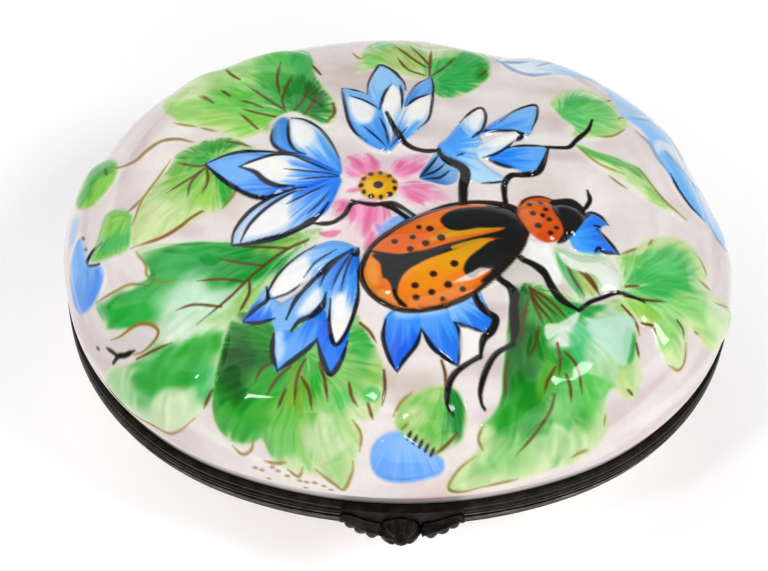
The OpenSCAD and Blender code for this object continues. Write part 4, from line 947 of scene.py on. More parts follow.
def petals_round_beetle(lid):
    """The blue petals by the beetle, a few pale patches and a fresh leaf; the white and mint patches below
    and right of the neck are painted glaze reflections.
    """
    blossom(lid,
        [([(-2, -18.2), (-2.3, -20.8), (-1.6, -23.3), (-0.8, -24.8), (0, -23.4), (1.3, -21.5), (1.9, -19.4),
           (1.8, -17.4), (0, -16.8)], (0, -17), (-0.8, -24), (52, 146, 246), (24, 96, 228)),
         ([(1.9, -19.6), (3, -21.8), (4.4, -23.1), (5.7, -24), (6.1, -22), (6.1, -20), (5.7, -17.8),
           (3.6, -16.6), (1.8, -17.4)], (3.4, -17), (5.4, -23), (70, 156, 246), (34, 118, 236)),
         ([(5.2, -18.7), (7, -19.4), (9, -19.9), (9.6, -18.2), (8.8, -16), (7.8, -14.2), (5, -15.6)],
          (5.4, -16), (9, -19.4), (120, 184, 246), (34, 120, 238)),
         ([(18.6, -6.4), (20, -4.8), (21.2, -3), (22.4, -3.2), (23.4, -4.4), (22.5, -5.2), (23.4, -7),
           (24.4, -8.6), (22.6, -8.5), (21.4, -9.2), (19.4, -8.6), (18.8, -7.4)], (18.6, -7), (23.6, -6),
          (60, 160, 248), (34, 120, 238))],
        [([(-1, -17.4), (1, -16.9), (3.4, -16.8), (6, -15.4), (5, -17.4), (2, -18.2), (-0.8, -18.4)], 0.45)],
        [(0.6, [(-2, -18.6), (-2.3, -20.8), (-1.6, -23.3), (-0.8, -24.8)]),
         (0.6, [(-0.8, -24.8), (0, -23.4), (1.3, -21.6), (1.9, -19.6)]),
         (0.65, [(1.9, -19.8), (3, -21.8), (4.4, -23.1), (5.8, -24)]),
         (0.6, [(5.8, -23.8), (6.1, -21.8), (6, -20), (5.4, -18.8)]),
         (0.55, [(5.4, -18.8), (7, -19.4), (8.6, -19.9)]),
         (0.6, [(20.2, -4.6), (21.4, -3.1), (22.6, -3.4), (23.5, -4.6)]),
         (0.6, [(22, -5.3), (23.4, -7), (24.5, -8.6)]),
         (0.5, [(24.4, -8.6), (22.6, -8.5), (22, -8), (21.4, -9.1)]), (0.4, [(21.6, -4.9), (22.6, -5)])],
        height=0.6)
    lid.fill([(6.2, -19.6), (8.2, -20.2), (8.3, -22.8), (6.2, -23.8)], WHITE, 0.5, 0.85)
    lid.fill([(10.8, -12.8), (12.6, -10.6), (14.6, -11.4), (16, -13.4), (13.6, -13.4), (12, -14.4)],
        (212, 208, 200), 0.6, 0.9)
    # A painted glaze reflection: the white patch under the beetle's neck
    lid.fill([(13, -7.8), (14.6, -8), (16.4, -8.4), (17.4, -10.4), (17.4, -13.4), (15.4, -12.4),
        (13.4, -10.4)], WHITE, 0.6, 0.9)
    fresh_leaf = [(16.8, -8.4), (19.6, -8.9), (22.6, -9), (24.5, -11), (24.3, -13.4), (22.2, -14),
        (19.4, -15.6), (18.4, -13.6), (17.2, -11)]
    leaf(lid, fresh_leaf, (16.8, -8.6), (206, 230, 196), ((120, 190, 110), 0.4),
        [(18.6, -12.4, 1, 3, 28, (60, 170, 80), 0.85), (20.4, -12.8, 1, 2.2, 20, (180, 190, 90), 0.8),
         (23.4, -11, 1.2, 1.8, 0, MILK, 0.8)],
        [[(19, -10.8), (20.4, -12.4), (22, -14.6)], [(20.2, -11.6), (21.2, -13), (21.6, -14)],
         [(18, -10), (18.8, -12.4), (20, -14.6)]], height=0.9, shoulder=1.4)
    # A painted glaze reflection: the pale white patch on the fresh leaf
    lid.fill([(17.4, -9.2), (19.9, -10.2), (22.2, -10.1), (24.1, -11.8), (23.8, -13.7), (22.2, -13.2),
        (21.3, -11.9), (19.6, -11.5), (18.2, -10.9)], (236, 242, 234), 0.4, 0.85)
    # A painted glaze reflection, in pale mint, on the long leaf
    lid.fill([(19.9, -18.3), (22.2, -17.2), (25.5, -16.7), (25.3, -18.7), (24.4, -22.2), (22.8, -21.8),
        (21.6, -20.6), (20.5, -19.5)], (190, 230, 210), 0.5, 0.8)
    # A painted glint: the small white patch on the long leaf
    lid.fill([(15.3, -18.7), (16.9, -18.3), (19.2, -16.7), (18.7, -18.3), (16.9, -19.5), (15.5, -20.4)],
        (236, 242, 234), 0.35, 0.8)


# Legs and feelers: the width of each stroke and its line
LEGS = [(0.75, [(0.9, -5.7), (-1.2, -3.9), (-2.8, -3.3)]),
    (0.6, [(-5, -3), (-5.9, -3.4), (-6.6, -4.8), (-7.8, -5.8), (-9.2, -6), (-10.8, -5.7)]),
    (1.2, [(6.8, -3.2), (6.9, -0.6), (7.2, 1.6), (6.6, 2.7), (5.2, 3.6), (4.4, 4.6), (4.2, 5.3)]),
    (0.85, [(11.7, -2.9), (11.6, -0.8), (11.8, 0.6), (12.6, 1.7), (14, 1.9), (15.6, 2.4), (16.5, 4.2),
            (17.2, 6.6)]),
    (0.6, [(17, 6.8), (18.6, 6.9), (19.8, 7.2), (20.8, 8.6), (22.2, 10.4), (22.9, 12.4)]),
    (0.95, [(7.6, -14.6), (8, -16.2), (9, -17.4), (10, -18.2), (9.6, -19.6), (8.6, -20.8), (8.2, -23)]),
    (0.7, [(8.2, -22.8), (6.4, -24), (5.2, -25.2), (4.6, -26.8), (4.6, -28.2), (5.2, -29.2)]),
    (1.05, [(10.4, -13), (12, -14.6), (12, -17), (12, -19.8), (11.6, -21.4)]),
    (0.7, [(11.8, -21.2), (10, -22.4), (8.9, -24.2), (8.2, -26.4), (8.3, -27.8), (8.7, -28.4)]),
    (1.0, [(13, -10.3), (14.4, -11), (15.6, -12), (16.4, -13.8), (17.4, -15.4), (19.2, -16.6)]),
    (0.55, [(19.2, -16.6), (20.6, -15.4), (22.2, -14.6), (23.8, -13.8), (25.2, -14.1), (26.8, -14.6)]),
    (0.55, [(20.6, -2.9), (21.2, -2), (21.6, -1), (21.4, 0.4)])]
# Turn of the beetle away from the long axis
BEETLE_TURN = 25
# Spots: place and radius
SPOTS = [(1.7, -6.7, 0.32), (2.9, -6.9, 0.42), (1, -8.1, 0.34), (2.4, -8.9, 0.42), (4.1, -8.1, 0.46),
    (-1, -8.7, 0.36), (0.7, -9.7, 0.38), (5.5, -11.5, 0.46), (3.2, -12.9, 0.42), (1.2, -14.4, 0.42),
    (4.8, -14.2, 0.46), (3, -15.2, 0.4), (1.3, -15.9, 0.4), (4.2, -16, 0.3), (6.4, -14.7, 0.36)]
NECK_SPOTS = [(15.6, -2.3, 0.3), (16.1, -3.3, 0.3), (14.6, -4, 0.36), (15.7, -4.2, 0.32), (16.4, -4.7, 0.32),
              (15.1, -5.7, 0.4), (16.5, -6.6, 0.34), (14.3, -2.7, 0.3), (17, -2.4, 0.3), (17.2, -5.8, 0.3)]
WING_CASES = [(-4.7, -12.2), (-3.6, -9.4), (-0.6, -6.6), (2.4, -4.7), (5.6, -3.3), (9, -2.7), (12.4, -3.1),
    (14, -4.8), (13.6, -7.6), (12, -10.4), (9.6, -13.3), (7, -15.6), (3.6, -17.1), (0, -17.5), (-2.8, -16.2),
    (-4.3, -14.4)]


def spotted(lid, spots):
    """Round dark spots."""
    for cu, cv, r in spots:
        lid.fill(circle(cu, cv, r, r * 0.95, np.arange(0, ALMOST_ROUND, 0.8)), (34, 16, 6), 0.14, 0.95)


def beetle_colours(lid):
    """The legs, the wing cases with their black and yellow marks, the neck shield and the head."""
    for width, line in LEGS:
        lid.stroke(line, width * 0.95, BLACK, 1, (0.85, 0.45), lift=0.05)
    lid.fill(WING_CASES, ORANGE, 0.2)
    upper = [(-3.6, -9.6), (-0.8, -6.9), (2.4, -5), (6, -3.6), (9, -3.2), (12.6, -3.4), (12.6, -6.4),
        (8, -7.2), (3, -9.2), (-0.8, -10.4)]
    lid.dabs(upper,
        [(0.4, -8.4, 3, 1.3, 30, (222, 92, 14), 0.8), (7.4, -6.9, 4.2, 0.8, 14, (200, 142, 14), 0.9),
         (3.6, -5.8, 3, 0.8, 26, (236, 130, 26), 0.7)])
    lower = [(-1, -15.6), (-0.6, -13.6), (0.6, -12.2), (3, -10.7), (6, -9.4), (9.8, -8), (11.6, -8.8),
        (9, -11.6), (8, -14), (5, -16), (1.8, -17), (-0.4, -16.8)]
    lid.fill(lower, (232, 122, 22), 0.2)
    lid.dabs(lower,
        [(4.4, -11.4, 4.4, 1.5, 24, (228, 158, 16), 0.95), (2.4, -13.6, 3, 1.6, 20, (232, 140, 18), 0.8),
         (7.6, -9.4, 2.6, 0.8, 20, (212, 152, 16), 0.9)])
    lid.dabs(WING_CASES,
        [(-3.6, -13, 0.9, 2.6, 0, (240, 150, 30), 0.8), (-1.8, -15.8, 1.6, 0.8, -30, (242, 160, 80), 0.7)])
    lid.fill([(4.1, -5.9), (4.6, -4.8), (6.2, -3.9), (9, -3.5), (12.2, -3.5), (13.8, -4.6), (13.8, -6.3),
        (11.6, -6.2), (9.6, -6.7), (7.4, -7), (5.2, -7)], (20, 22, 22), 0.2)
    seam = [(13.8, -6.6), (12, -6.4), (9.4, -7.3), (5.4, -8.7), (2, -9.9), (-0.6, -10.6), (-3.4, -10.4),
        (-2.6, -11.6), (-2.3, -13), (-1.5, -14.2), (-1.2, -15.6), (-0.5, -16.8), (0.4, -17), (-0.7, -15.6),
        (-0.4, -13.7), (0.6, -12.3), (2.6, -11), (4.6, -10.1), (6.6, -9.2), (9.8, -7.9), (12.6, -7.6)]
    lid.fill(seam, BLACK, 0.2)
    lid.fill([(-3.6, -9.9), (-2.6, -10.9), (-2.3, -13.4), (-1.6, -13), (-0.2, -12.2), (1.6, -11.6), (2, -10),
        (-0.6, -10.4)], BLACK, 0.25)
    lid.stroke([(3.2, -8.3), (6, -7.5), (8.4, -6.9), (10.6, -6.4)], 0.62, (206, 150, 20), 0.95, (0.8, 0.2))
    lid.stroke([(5.4, -9.4), (7.6, -8.6), (9.6, -7.9)], 0.6, (206, 150, 20), 0.95, (0.8, 0.2))
    lid.fill([(13.6, -6.6), (12.8, -7.8), (9.9, -8.2), (8.4, -9.4), (7, -10.8), (6.5, -12.2), (7, -13.1),
        (7.8, -13.2), (8.4, -12.4), (9.6, -12.2), (8.4, -13.6), (9.4, -13.6), (10.8, -12.6), (12.8, -10),
        (13.8, -8)], (24, 24, 24), 0.25)
    lid.fill([(9.4, -3.1), (12.4, -3), (14.2, -4.8), (13.9, -7.4), (12.6, -10), (10.6, -9.6), (10, -8.1),
        (11.4, -7.5), (10.8, -7), (11.4, -6), (10.6, -4.8)], (20, 20, 20), 0.5)
    lid.stroke(WING_CASES + WING_CASES[:2], 0.62, (34, 20, 10), 0.92, (1, 1))
    spotted(lid, SPOTS)
    neck = [(13, -3.4), (13.6, -2), (15.2, -1.3), (17, -1.5), (17.6, -3), (18.2, -4.8), (18.4, -6.4),
        (17.4, -7.5), (16, -8), (14.6, -7.2), (13.6, -5.8), (13, -4.6)]
    lid.fill(neck, (208, 84, 14), 0.2)
    lid.dabs(neck,
        [(14.4, -3.6, 1.2, 2, 0, (222, 108, 26), 0.7), (16.2, -7, 1.6, 0.8, 20, (204, 70, 14), 0.7)])
    lid.stroke([(13.2, -3.2), (14, -1.9), (15.6, -1.3), (17.2, -1.6)], 0.3, (40, 22, 10), 0.85)
    lid.fill([(16.9, -1.9), (18, -1.4), (19.4, -1.2), (20.5, -2), (20.9, -3.2), (20.3, -4.8), (19.3, -6.3),
        (18.2, -7.6), (17.2, -7.9), (18, -6.4), (17.7, -4.8), (17, -3.4)], (22, 22, 22), 0.22)
    spotted(lid, NECK_SPOTS)


def beetle_shape(lid):
    """The high rounded wing cases with their seam, then the neck shield and the head."""
    _, u, v = lid.everywhere()

    def mound(centre, half_long, half_wide, height, seam=0.0, blunt=2.0):
        """A rounded lump, a little narrower towards the head, with a groove along its middle."""
        along, across = turned(u, v, centre, BEETLE_TURN)
        a = along / half_long
        b = across / (half_wide * (1 - 0.08 * a))
        r = np.abs(a) ** blunt + np.abs(b) ** 2
        rise = height * np.sqrt(np.clip(1 - r, 0, 1)) ** 1.05
        groove = seam * np.exp(-(b / 0.05) ** 2) * step((1 - np.abs(a)) / 0.3)
        lid.height = np.maximum(lid.height, np.where(r < 1, rise - groove, -9))

    mound((4.9, -9.8), 10.1, 5.9, 2.5, seam=0.1, blunt=2.5)
    mound((15.8, -5.2), 3, 3.5, 1.7)
    mound((18.6, -4.6), 2.4, 2.6, 1.3)


# ---------------------------------------------------------------- materials
def linear(rgb):
    """Screen colours out of 255 as linear light."""
    c = np.asarray(rgb, float) / 255
    return np.where(c <= 0.04045, c / 12.92, ((c + 0.055) / 1.055) ** 2.4)


def material(name):
    """An empty node material with its surface shader."""
    made = bpy.data.materials.new(name)
    made.use_nodes = True
    tree = made.node_tree
    tree.nodes.clear()
    shader = tree.nodes.new("ShaderNodeBsdfPrincipled")
    out = tree.nodes.new("ShaderNodeOutputMaterial")
    tree.links.new(shader.outputs["BSDF"], out.inputs["Surface"])
    return made, tree, shader


def add(tree, kind, links=(), **values):
    """A node with its values, and links into its named sockets."""
    node = tree.nodes.new(kind)
    for key, value in values.items():
        if hasattr(node, key):
            setattr(node, key, value)
        else:
            node.inputs[key.replace("_", " ")].default_value = value
    for socket, source in links:
        tree.links.new(source, node.inputs[socket])
    return node


def grain(tree, scale, detail=3.0):
    """Noise that stays with the piece, in swells per metre."""
    place = add(tree, "ShaderNodeTexCoord")
    return add(tree, "ShaderNodeTexNoise", [("Vector", place.outputs["Object"])], Scale=scale, Detail=detail)


def ramp(tree, source, stops):
    """A ramp from a value to colours."""
    node = add(tree, "ShaderNodeValToRGB", [("Fac", source)])
    while len(node.color_ramp.elements) < len(stops):
        node.color_ramp.elements.new(0.5)
    for element, (place, colour) in zip(node.color_ramp.elements, stops):
        element.position = place
        element.color = (*colour, 1)
    return node


def set_inputs(node, values):
    """Constant values for some of a node's sockets."""
    for socket, value in values.items():
        node.inputs[socket].default_value = value


def glaze(tree, shader, rough):
    """A clear glossy glaze over whatever colour the shader has."""
    swell = grain(tree, 220, 2)
    set_inputs(shader, {"Roughness": rough, "Coat Weight": 0.12, "Coat Roughness": 0.04, "IOR": 1.34})
    bump = add(tree, "ShaderNodeBump", [("Height", swell.outputs["Fac"])], Strength=0.06, Distance=0.0004)
    tree.links.new(bump.outputs["Normal"], shader.inputs["Normal"])


def painted_porcelain():
    """The lid's painting under its glaze, faintly mottled."""
    made, tree, shader = material("painted_porcelain")
    paint = add(tree, "ShaderNodeVertexColor", layer_name="paint")
    mottle = grain(tree, 900, 4)
    tint = ramp(tree, mottle.outputs["Fac"], [(0.3, (0.93, 0.92, 0.93)), (0.7, (1, 1, 1))])
    mix = add(tree, "ShaderNodeMix", data_type="RGBA", blend_type="MULTIPLY")
    factor, colour_a, colour_b, result = 0, 6, 7, 2
    mix.inputs[factor].default_value = 0.8
    tree.links.new(paint.outputs["Color"], mix.inputs[colour_a])
    tree.links.new(tint.outputs["Color"], mix.inputs[colour_b])
    tree.links.new(mix.outputs[result], shader.inputs["Base Color"])
    glaze(tree, shader, 0.09)
    return made


def pale_porcelain():
    """The bowl's plain pinkish porcelain under its glaze."""
    made, tree, shader = material("pale_porcelain")
    mottle = grain(tree, 110, 5)
    shades = [(0.3, (222, 208, 208)), (0.5, (232, 224, 221)), (0.72, (240, 236, 232))]
    tint = ramp(tree, mottle.outputs["Fac"], [(place, tuple(linear(rgb))) for place, rgb in shades])
    tree.links.new(tint.outputs["Color"], shader.inputs["Base Color"])
    glaze(tree, shader, 0.14)
    return made


def dark_brass(name, dark, light, rough):
    """Patinated brass, in patches between two linear colours, with a fine rubbed grain."""
    made, tree, shader = material(name)
    patches = grain(tree, 700, 5)
    tint = ramp(tree, patches.outputs["Fac"], [(0.38, dark), (0.66, light)])
    fine = grain(tree, 5200, 2)
    tree.links.new(tint.outputs["Color"], shader.inputs["Base Color"])
    shader.inputs["Metallic"].default_value = 0.9
    rub = add(tree, "ShaderNodeMapRange", [("Value", fine.outputs["Fac"])], To_Min=rough, To_Max=rough + 0.22)
    tree.links.new(rub.outputs["Result"], shader.inputs["Roughness"])
    bump = add(tree, "ShaderNodeBump", [("Height", fine.outputs["Fac"])], Strength=0.25, Distance=0.00008)
    tree.links.new(bump.outputs["Normal"], shader.inputs["Normal"])
    return made


def cement():
    """The matt bedding plaster."""
    made, tree, shader = material("cement")
    mottle = grain(tree, 1500, 4)
    tint = ramp(tree, mottle.outputs["Fac"], [(0.35, (0.42, 0.39, 0.33)), (0.65, (0.58, 0.55, 0.48))])
    tree.links.new(tint.outputs["Color"], shader.inputs["Base Color"])
    shader.inputs["Roughness"].default_value = 0.9
    return made


PAINTED = painted_porcelain()
PALE = pale_porcelain()
BRASS = dark_brass("dark_brass", (0.006, 0.005, 0.0045), (0.022, 0.017, 0.013), 0.34)
# Lighter brass for the lower rim's two ridges: partly wear, partly a painted highlight for the light along
# them
WORN_LIT_BRASS = dark_brass("worn_and_lit_brass", (0.07, 0.062, 0.052), (0.17, 0.155, 0.135), 0.3)
CEMENT = cement()


# ---------------------------------------------------------------- the lid
# The painting is laid as seen from this side, on a surface lifted by this much
TOWARDS = np.array(Vector((-0.0161, -0.6247, 0.7807)))
SEEN_LIFT = 0.45
# Where the dome is fuller or flatter than a plain one: place, reach along u and v, and height
SWELLS = [(-41, 3, 8, 12, 0.7), (-31, 18, 11, 8, 0.6), (12, 29, 9, 5, -0.7), (40, 9, 7, 11, -1.1)]


def swells(lid):
    """The dome's own broad unevenness."""
    _, u, v = lid.everywhere()
    for cu, cv, ru, rv, height in SWELLS:
        lid.height += height * step(1.15 - np.hypot((u - cu) / ru, (v - cv) / rv))


def painted_lid():
    """The laid-out paint and relief, from the back layer to the front one."""
    lid = LidPaint()
    ground(lid)
    for layer in (edge_specks, upper_leaves, left_leaves, great_left_leaf, right_leaves, lower_leaves,
            pink_flower, left_flower, low_left_flower, top_flowers, petals_round_beetle):
        layer(lid)
    # Leaves and petals are softened twice, the beetle once, and the paint follows a still softer relief
    lid.blur_height(3)
    swells(lid)
    beetle_colours(lid)
    beetle_shape(lid)
    lid.blur_height(6)
    sharp = lid.height
    lid.blur_height(14)
    lid.height, lid.soft_height = sharp, lid.height
    return lid


def lay_sheet(lid, u, v, s):
    """Points of the outer surface at u, v, and their colours, shifted where the relief is high."""
    # The relief dies out just above the rim, where the plain porcelain swells out a little
    fade = step((FULL_ARC - s) / 2.4)
    height = lid.at(lid.height, u, v) * fade
    soft = lid.at(lid.soft_height, u, v) * fade
    points = dome(u, v, 0)
    tiny = 0.02
    along_u = (dome(u + tiny, v, 0) - points) / tiny
    along_v = (dome(u, v + tiny, 0) - points) / tiny
    normal = np.cross(along_u, along_v)
    normal /= np.maximum(np.linalg.norm(normal, axis=-1, keepdims=True), 1e-9)
    facing = np.maximum(0.4, normal @ TOWARDS)
    over = (soft - SEEN_LIFT * fade) / facing
    seen_u, seen_v = u - over * (along_u @ TOWARDS), v - over * (along_v @ TOWARDS)
    points = dome(u, v, height + BULGE * step((FULL_ARC - s) / 0.9) * step((8 - FULL_ARC + s) / 6.5))
    points[..., 0] = np.clip(points[..., 0], 0.03 - HALF_L, HALF_L - 0.03)
    return points, lid.at(lid.colour, seen_u, seen_v)


def stitch(first, a, second, b):
    """Faces between two rings of which one may have twice as many points."""
    i = np.arange(min(a, b))
    if a == b:
        j = (i + 1) % a
        return np.stack([first + i, second + i, second + j, first + j], -1).tolist()
    j = (i + 1) % len(i)
    few, many = (first, second) if a < b else (second, first)
    f0, f1, f2 = many + 2 * i, many + 2 * i + 1, many + (2 * i + 2) % (2 * len(i))
    tri = [np.stack(t, -1) for t in ((few + i, f0, f1), (few + i, f1, few + j), (few + j, f1, f2))]
    faces = np.concatenate(tri)
    return (faces if a < b else faces[:, ::-1]).tolist()


def lid_piece(lid):
    """The closed shell of the lid: fine rings outside, the edge, then a plain inside."""
    x, y = oval_point(oval_angles(SPOKES), REACH)
    ways = np.arctan2(y, x)
    rings = []
    for s in np.linspace(0, FULL_ARC, OUTER_RINGS)[1:]:
        # Near the crown the spokes lie close, so only every second or fourth one is kept
        every = 4 if s < 10 else 2 if s < 20 else 1
        way = ways[::every]
        q = s * oval_radius(way) / REACH
        rings.append(lay_sheet(lid, q * np.cos(way), q * np.sin(way), s))
    plain = np.array(GROUND, float)

    def edge(reach, z, every):
        """One level ring of the lid's edge."""
        px, py = oval_point(oval_angles(SPOKES)[::every], reach)
        return np.stack([px, py, np.full(len(px), z)], -1)

    inner = REACH - WALL
    for reach, z, every in [(REACH, RIM_TOP - 0.6, 1), (REACH, LID_EDGE + 0.2, 1),
            (REACH - 0.2, LID_EDGE, 1), (inner + 0.2, LID_EDGE, 2), (inner, LID_EDGE + 0.2, 4),
            (inner, RIM_TOP - 0.4, 4)]:
        points = edge(reach, z, every)
        rings.append((points, np.tile(plain, (len(points), 1))))
    for s in np.linspace(FULL_ARC, 0, INNER_RINGS)[:-1]:
        way = ways[::4]
        q = s * oval_radius(way) / REACH
        points = dome(q * np.cos(way), q * np.sin(way), -WALL)
        shade = plain * (0.985 + 0.015 * noise(q * np.cos(way) / 7, q * np.sin(way) / 7, 4))[:, None]
        rings.append((points, shade))
    top, top_colour = lay_sheet(lid, np.zeros(1), np.zeros(1), 0.0)
    low = dome(np.zeros(1), np.zeros(1), -WALL)
    points = np.concatenate([top] + [r[0] for r in rings] + [low])
    colours = np.concatenate([top_colour] + [r[1] for r in rings] + [plain[None]])
    starts = np.cumsum([1] + [len(r[0]) for r in rings])
    first, last = len(rings[0][0]), len(rings[-1][0])
    faces = [[0, 1 + i, 1 + (i + 1) % first] for i in range(first)]
    for k in range(len(rings) - 1):
        faces += stitch(starts[k], len(rings[k][0]), starts[k + 1], len(rings[k + 1][0]))
    end = len(points) - 1
    faces += [[end, starts[-2] + (i + 1) % last, starts[-2] + i] for i in range(last)]
    piece = new_piece("lid_dome", points, faces, PAINTED, "lid", "painted_porcelain", ["lid_shell"])
    layer = piece.data.color_attributes.new("paint", "FLOAT_COLOR", "POINT")
    rgba = np.ones((len(points), 4), np.float32)
    rgba[:, :3] = linear(np.clip(colours, 0, 255))
    layer.data.foreach_set("color", rgba.ravel())
    return piece


# ---------------------------------------------------------------- the rims, the bowl and the clasp
def rim_pieces():
    """Both rims: dark bands, the upper one with a milled edge and the lower one with two worn ridges whose
    lighter brass is partly wear and partly painted highlight.
    """
    wall = HALF_L - RIM_WALL
    inside = HALF_L - SHELF_REACH
    top, low = RIM_TOP - TUCK, RIM_BOTTOM
    band = ([(inside, low), (HALF_L - 0.3, low)] + arc((HALF_L - 0.3, low + 0.3), 0.3, -80, 60, 7)
            + [(HALF_L - 0.2, low + 0.6)] + arc((HALF_L - 0.4, top - 0.42), 0.38, -20, 100, 9)
            + [(REACH + 0.12, top - 0.06), (REACH + 0.12, top - 0.4), (wall, low + 0.6), (inside, low + 0.6)])
    new_piece("lid_band", *sweep(band), BRASS, "lid", "dark_brass", ["lid_rim"])
    new_piece("lid_milling", *milled(HALF_L - 0.46, top - 0.06, 0.15, 0.6), BRASS, "lid", "dark_brass")

    part, foot = PARTING, BASE_BOTTOM - DROP
    lip_out, lip_in = inside - 0.2, inside - 0.9
    shelf = part - 0.6
    lip_top = part + LIP_RISE
    lip = [(lip_out, part), (lip_out, lip_top - 0.15), (lip_out - 0.15, lip_top), (lip_in + 0.15, lip_top),
           (lip_in, lip_top - 0.15), (lip_in, shelf)]
    band = (arc((HALF_L - 1.2, foot + 0.36), 0.36, -120, 20, 8)
            + [(HALF_L - 0.36, foot + 1.3), (HALF_L - 0.26, part - 0.6)]
            + arc((HALF_L - 0.26, part - 0.22), 0.22, -60, 90, 7) + lip
            + [(wall, shelf), (wall, foot + 1.5), (HALF_L - 1.5, foot + 0.1)])
    new_piece("base_band", *sweep(band), BRASS, "base", "dark_brass", ["base_rim"])
    # The two ridges take the lighter brass, partly wear and partly painted highlight
    wires = [sweep(arc((HALF_L - 0.16, z), 0.15, 0, 315, 8)) for z in (part - 0.3, part - 1.1)]
    new_piece("base_ridges", *join(wires), WORN_LIT_BRASS, "base", "dark_brass")


def bowl_piece():
    """The shallow bowl: foot ring, curved wall and a rounded inside floor."""
    # Half length of the foot, the width of its bare ring, the hollow under it, and the floor's top
    foot, ring, hollow, floor = 28.7, 1.8, 1, 3.6
    outer = HALF_L - 0.75
    inner = outer - WALL
    wall_bottom = BASE_BOTTOM - 0.4

    def bow(p, q, rise, count):
        """Points from one place to another, bowed out to the right of the way."""
        p, q = np.array(p), np.array(q)
        out = np.array([q[1] - p[1], p[0] - q[0]]) / np.hypot(*(q - p))
        return [tuple(p + (q - p) * t + out * rise * 4 * t * (1 - t)) for t in np.linspace(0, 1, count)]

    outside = bow((foot + 0.15, 0.9), (outer - 0.4, wall_bottom), 1.1, 20)
    inside = bow((24.9, 4.9), (inner - 0.4, wall_bottom - 0.8), 1, 20)[::-1]
    profile = ([(END + 0.01, hollow), (foot - ring - 0.5, hollow), (foot - ring - 0.15, 0.3),
                (foot - ring + 0.1, 0), (foot - 0.4, 0), (foot - 0.08, 0.12), (foot, 0.4)]
               + outside
               + [(outer, wall_bottom + 0.8), (outer, BOWL_EDGE - 0.2), (outer - 0.2, BOWL_EDGE),
                  (inner + 0.2, BOWL_EDGE), (inner, BOWL_EDGE - 0.2), (inner, wall_bottom)]
               + inside + arc((21.9, 7.6), 4, -50, -90, 7) + [(END + 0.01, floor)])
    points, faces = sweep(profile, BOWL_STEPS)
    rings = len(profile)
    # The profile ends near the middle, so its last ring of faces gives way to two middle points
    faces = [f for f in faces if not (f[0] // BOWL_STEPS == rings - 1)]
    low, high = len(points), len(points) + 1
    points = np.concatenate([points, [[0, 0, hollow], [0, 0, floor]]])
    last = (rings - 1) * BOWL_STEPS
    faces += [[low, (i + 1) % BOWL_STEPS, i] for i in range(BOWL_STEPS)]
    faces += [[high, last + i, last + (i + 1) % BOWL_STEPS] for i in range(BOWL_STEPS)]
    new_piece("bowl", points, faces, PALE, "base", "pale_porcelain", ["base_bowl"])


# How far the clasp's plate stands out from the rims
PLATE_OUT = 0.85


def front_y(x, reach):
    """How far forward the oval of a reach comes at x, along its front arc."""
    radius = HALF_W + SIDE - HALF_L + reach
    return -(np.sqrt(radius ** 2 - np.asarray(x) ** 2) - SIDE)


def relief(front, back, rows, columns):
    """Points and faces of a closed lump with a front and a back grid of the same size."""
    n = rows * columns
    points = np.concatenate([front.reshape(-1, 3), back.reshape(-1, 3)])
    faces = []
    for i in range(rows - 1):
        for j in range(columns - 1):
            a = i * columns + j
            quad = [a, a + 1, a + columns + 1, a + columns]
            faces.append(quad)
            faces.append([n + k for k in quad[::-1]])
    rim = (list(range(columns - 1)) + [i * columns + columns - 1 for i in range(rows - 1)]
           + [(rows - 1) * columns + j for j in range(columns - 1, 0, -1)]
           + [i * columns for i in range(rows - 1, 0, -1)])
    for a, b in zip(rim, rim[1:] + rim[:1]):
        faces.append([b, a, n + a, n + b])
    return points, faces


def clasp_shell():
    """The ribbed shell in the middle of the clasp."""
    plate, front = HALF_L + PLATE_OUT, -blossom_low[1]
    centre_z = (blossom_low[2] + blossom_high[2]) / 2 - 1
    rows, columns, lobes = 26, 121, 8
    t = np.linspace(0, 1, rows)[:, None]
    way = np.linspace(0, 2 * math.pi, columns)[None, :]
    lobe = np.abs(np.cos(lobes * way / 2))
    radius = 2.55 * (1 - 0.1 * (1 - lobe)) * t * (1 - 0.1 * np.sin(way))
    x, z = radius * np.sin(way), centre_z + radius * np.cos(way)
    rib = 0.3 * (lobe - 0.5) * step((t - 0.3) / 0.3)
    boss = 0.55 * np.sqrt(np.clip(1 - (t / 0.36) ** 2, 0, 1))
    base = -front_y(0, plate)
    swell = (front - base - 0.62) * np.clip(1 - 0.75 * t ** 3, 0, 1) * np.sqrt(np.clip(1.02 - t ** 4, 0, 1))
    y = -np.minimum(front - 0.01, base + 0.05 + swell + rib + boss)
    shell = np.stack([x, y, z], -1)
    back = np.stack([x * 0.96, np.full_like(x, -base + 0.05), centre_z + (z - centre_z) * 0.96], -1)
    points, faces = relief(shell, back, rows, columns)
    new_piece("clasp_shell", points, faces, BRASS, "lid", "dark_brass", ["clasp_blossom"])


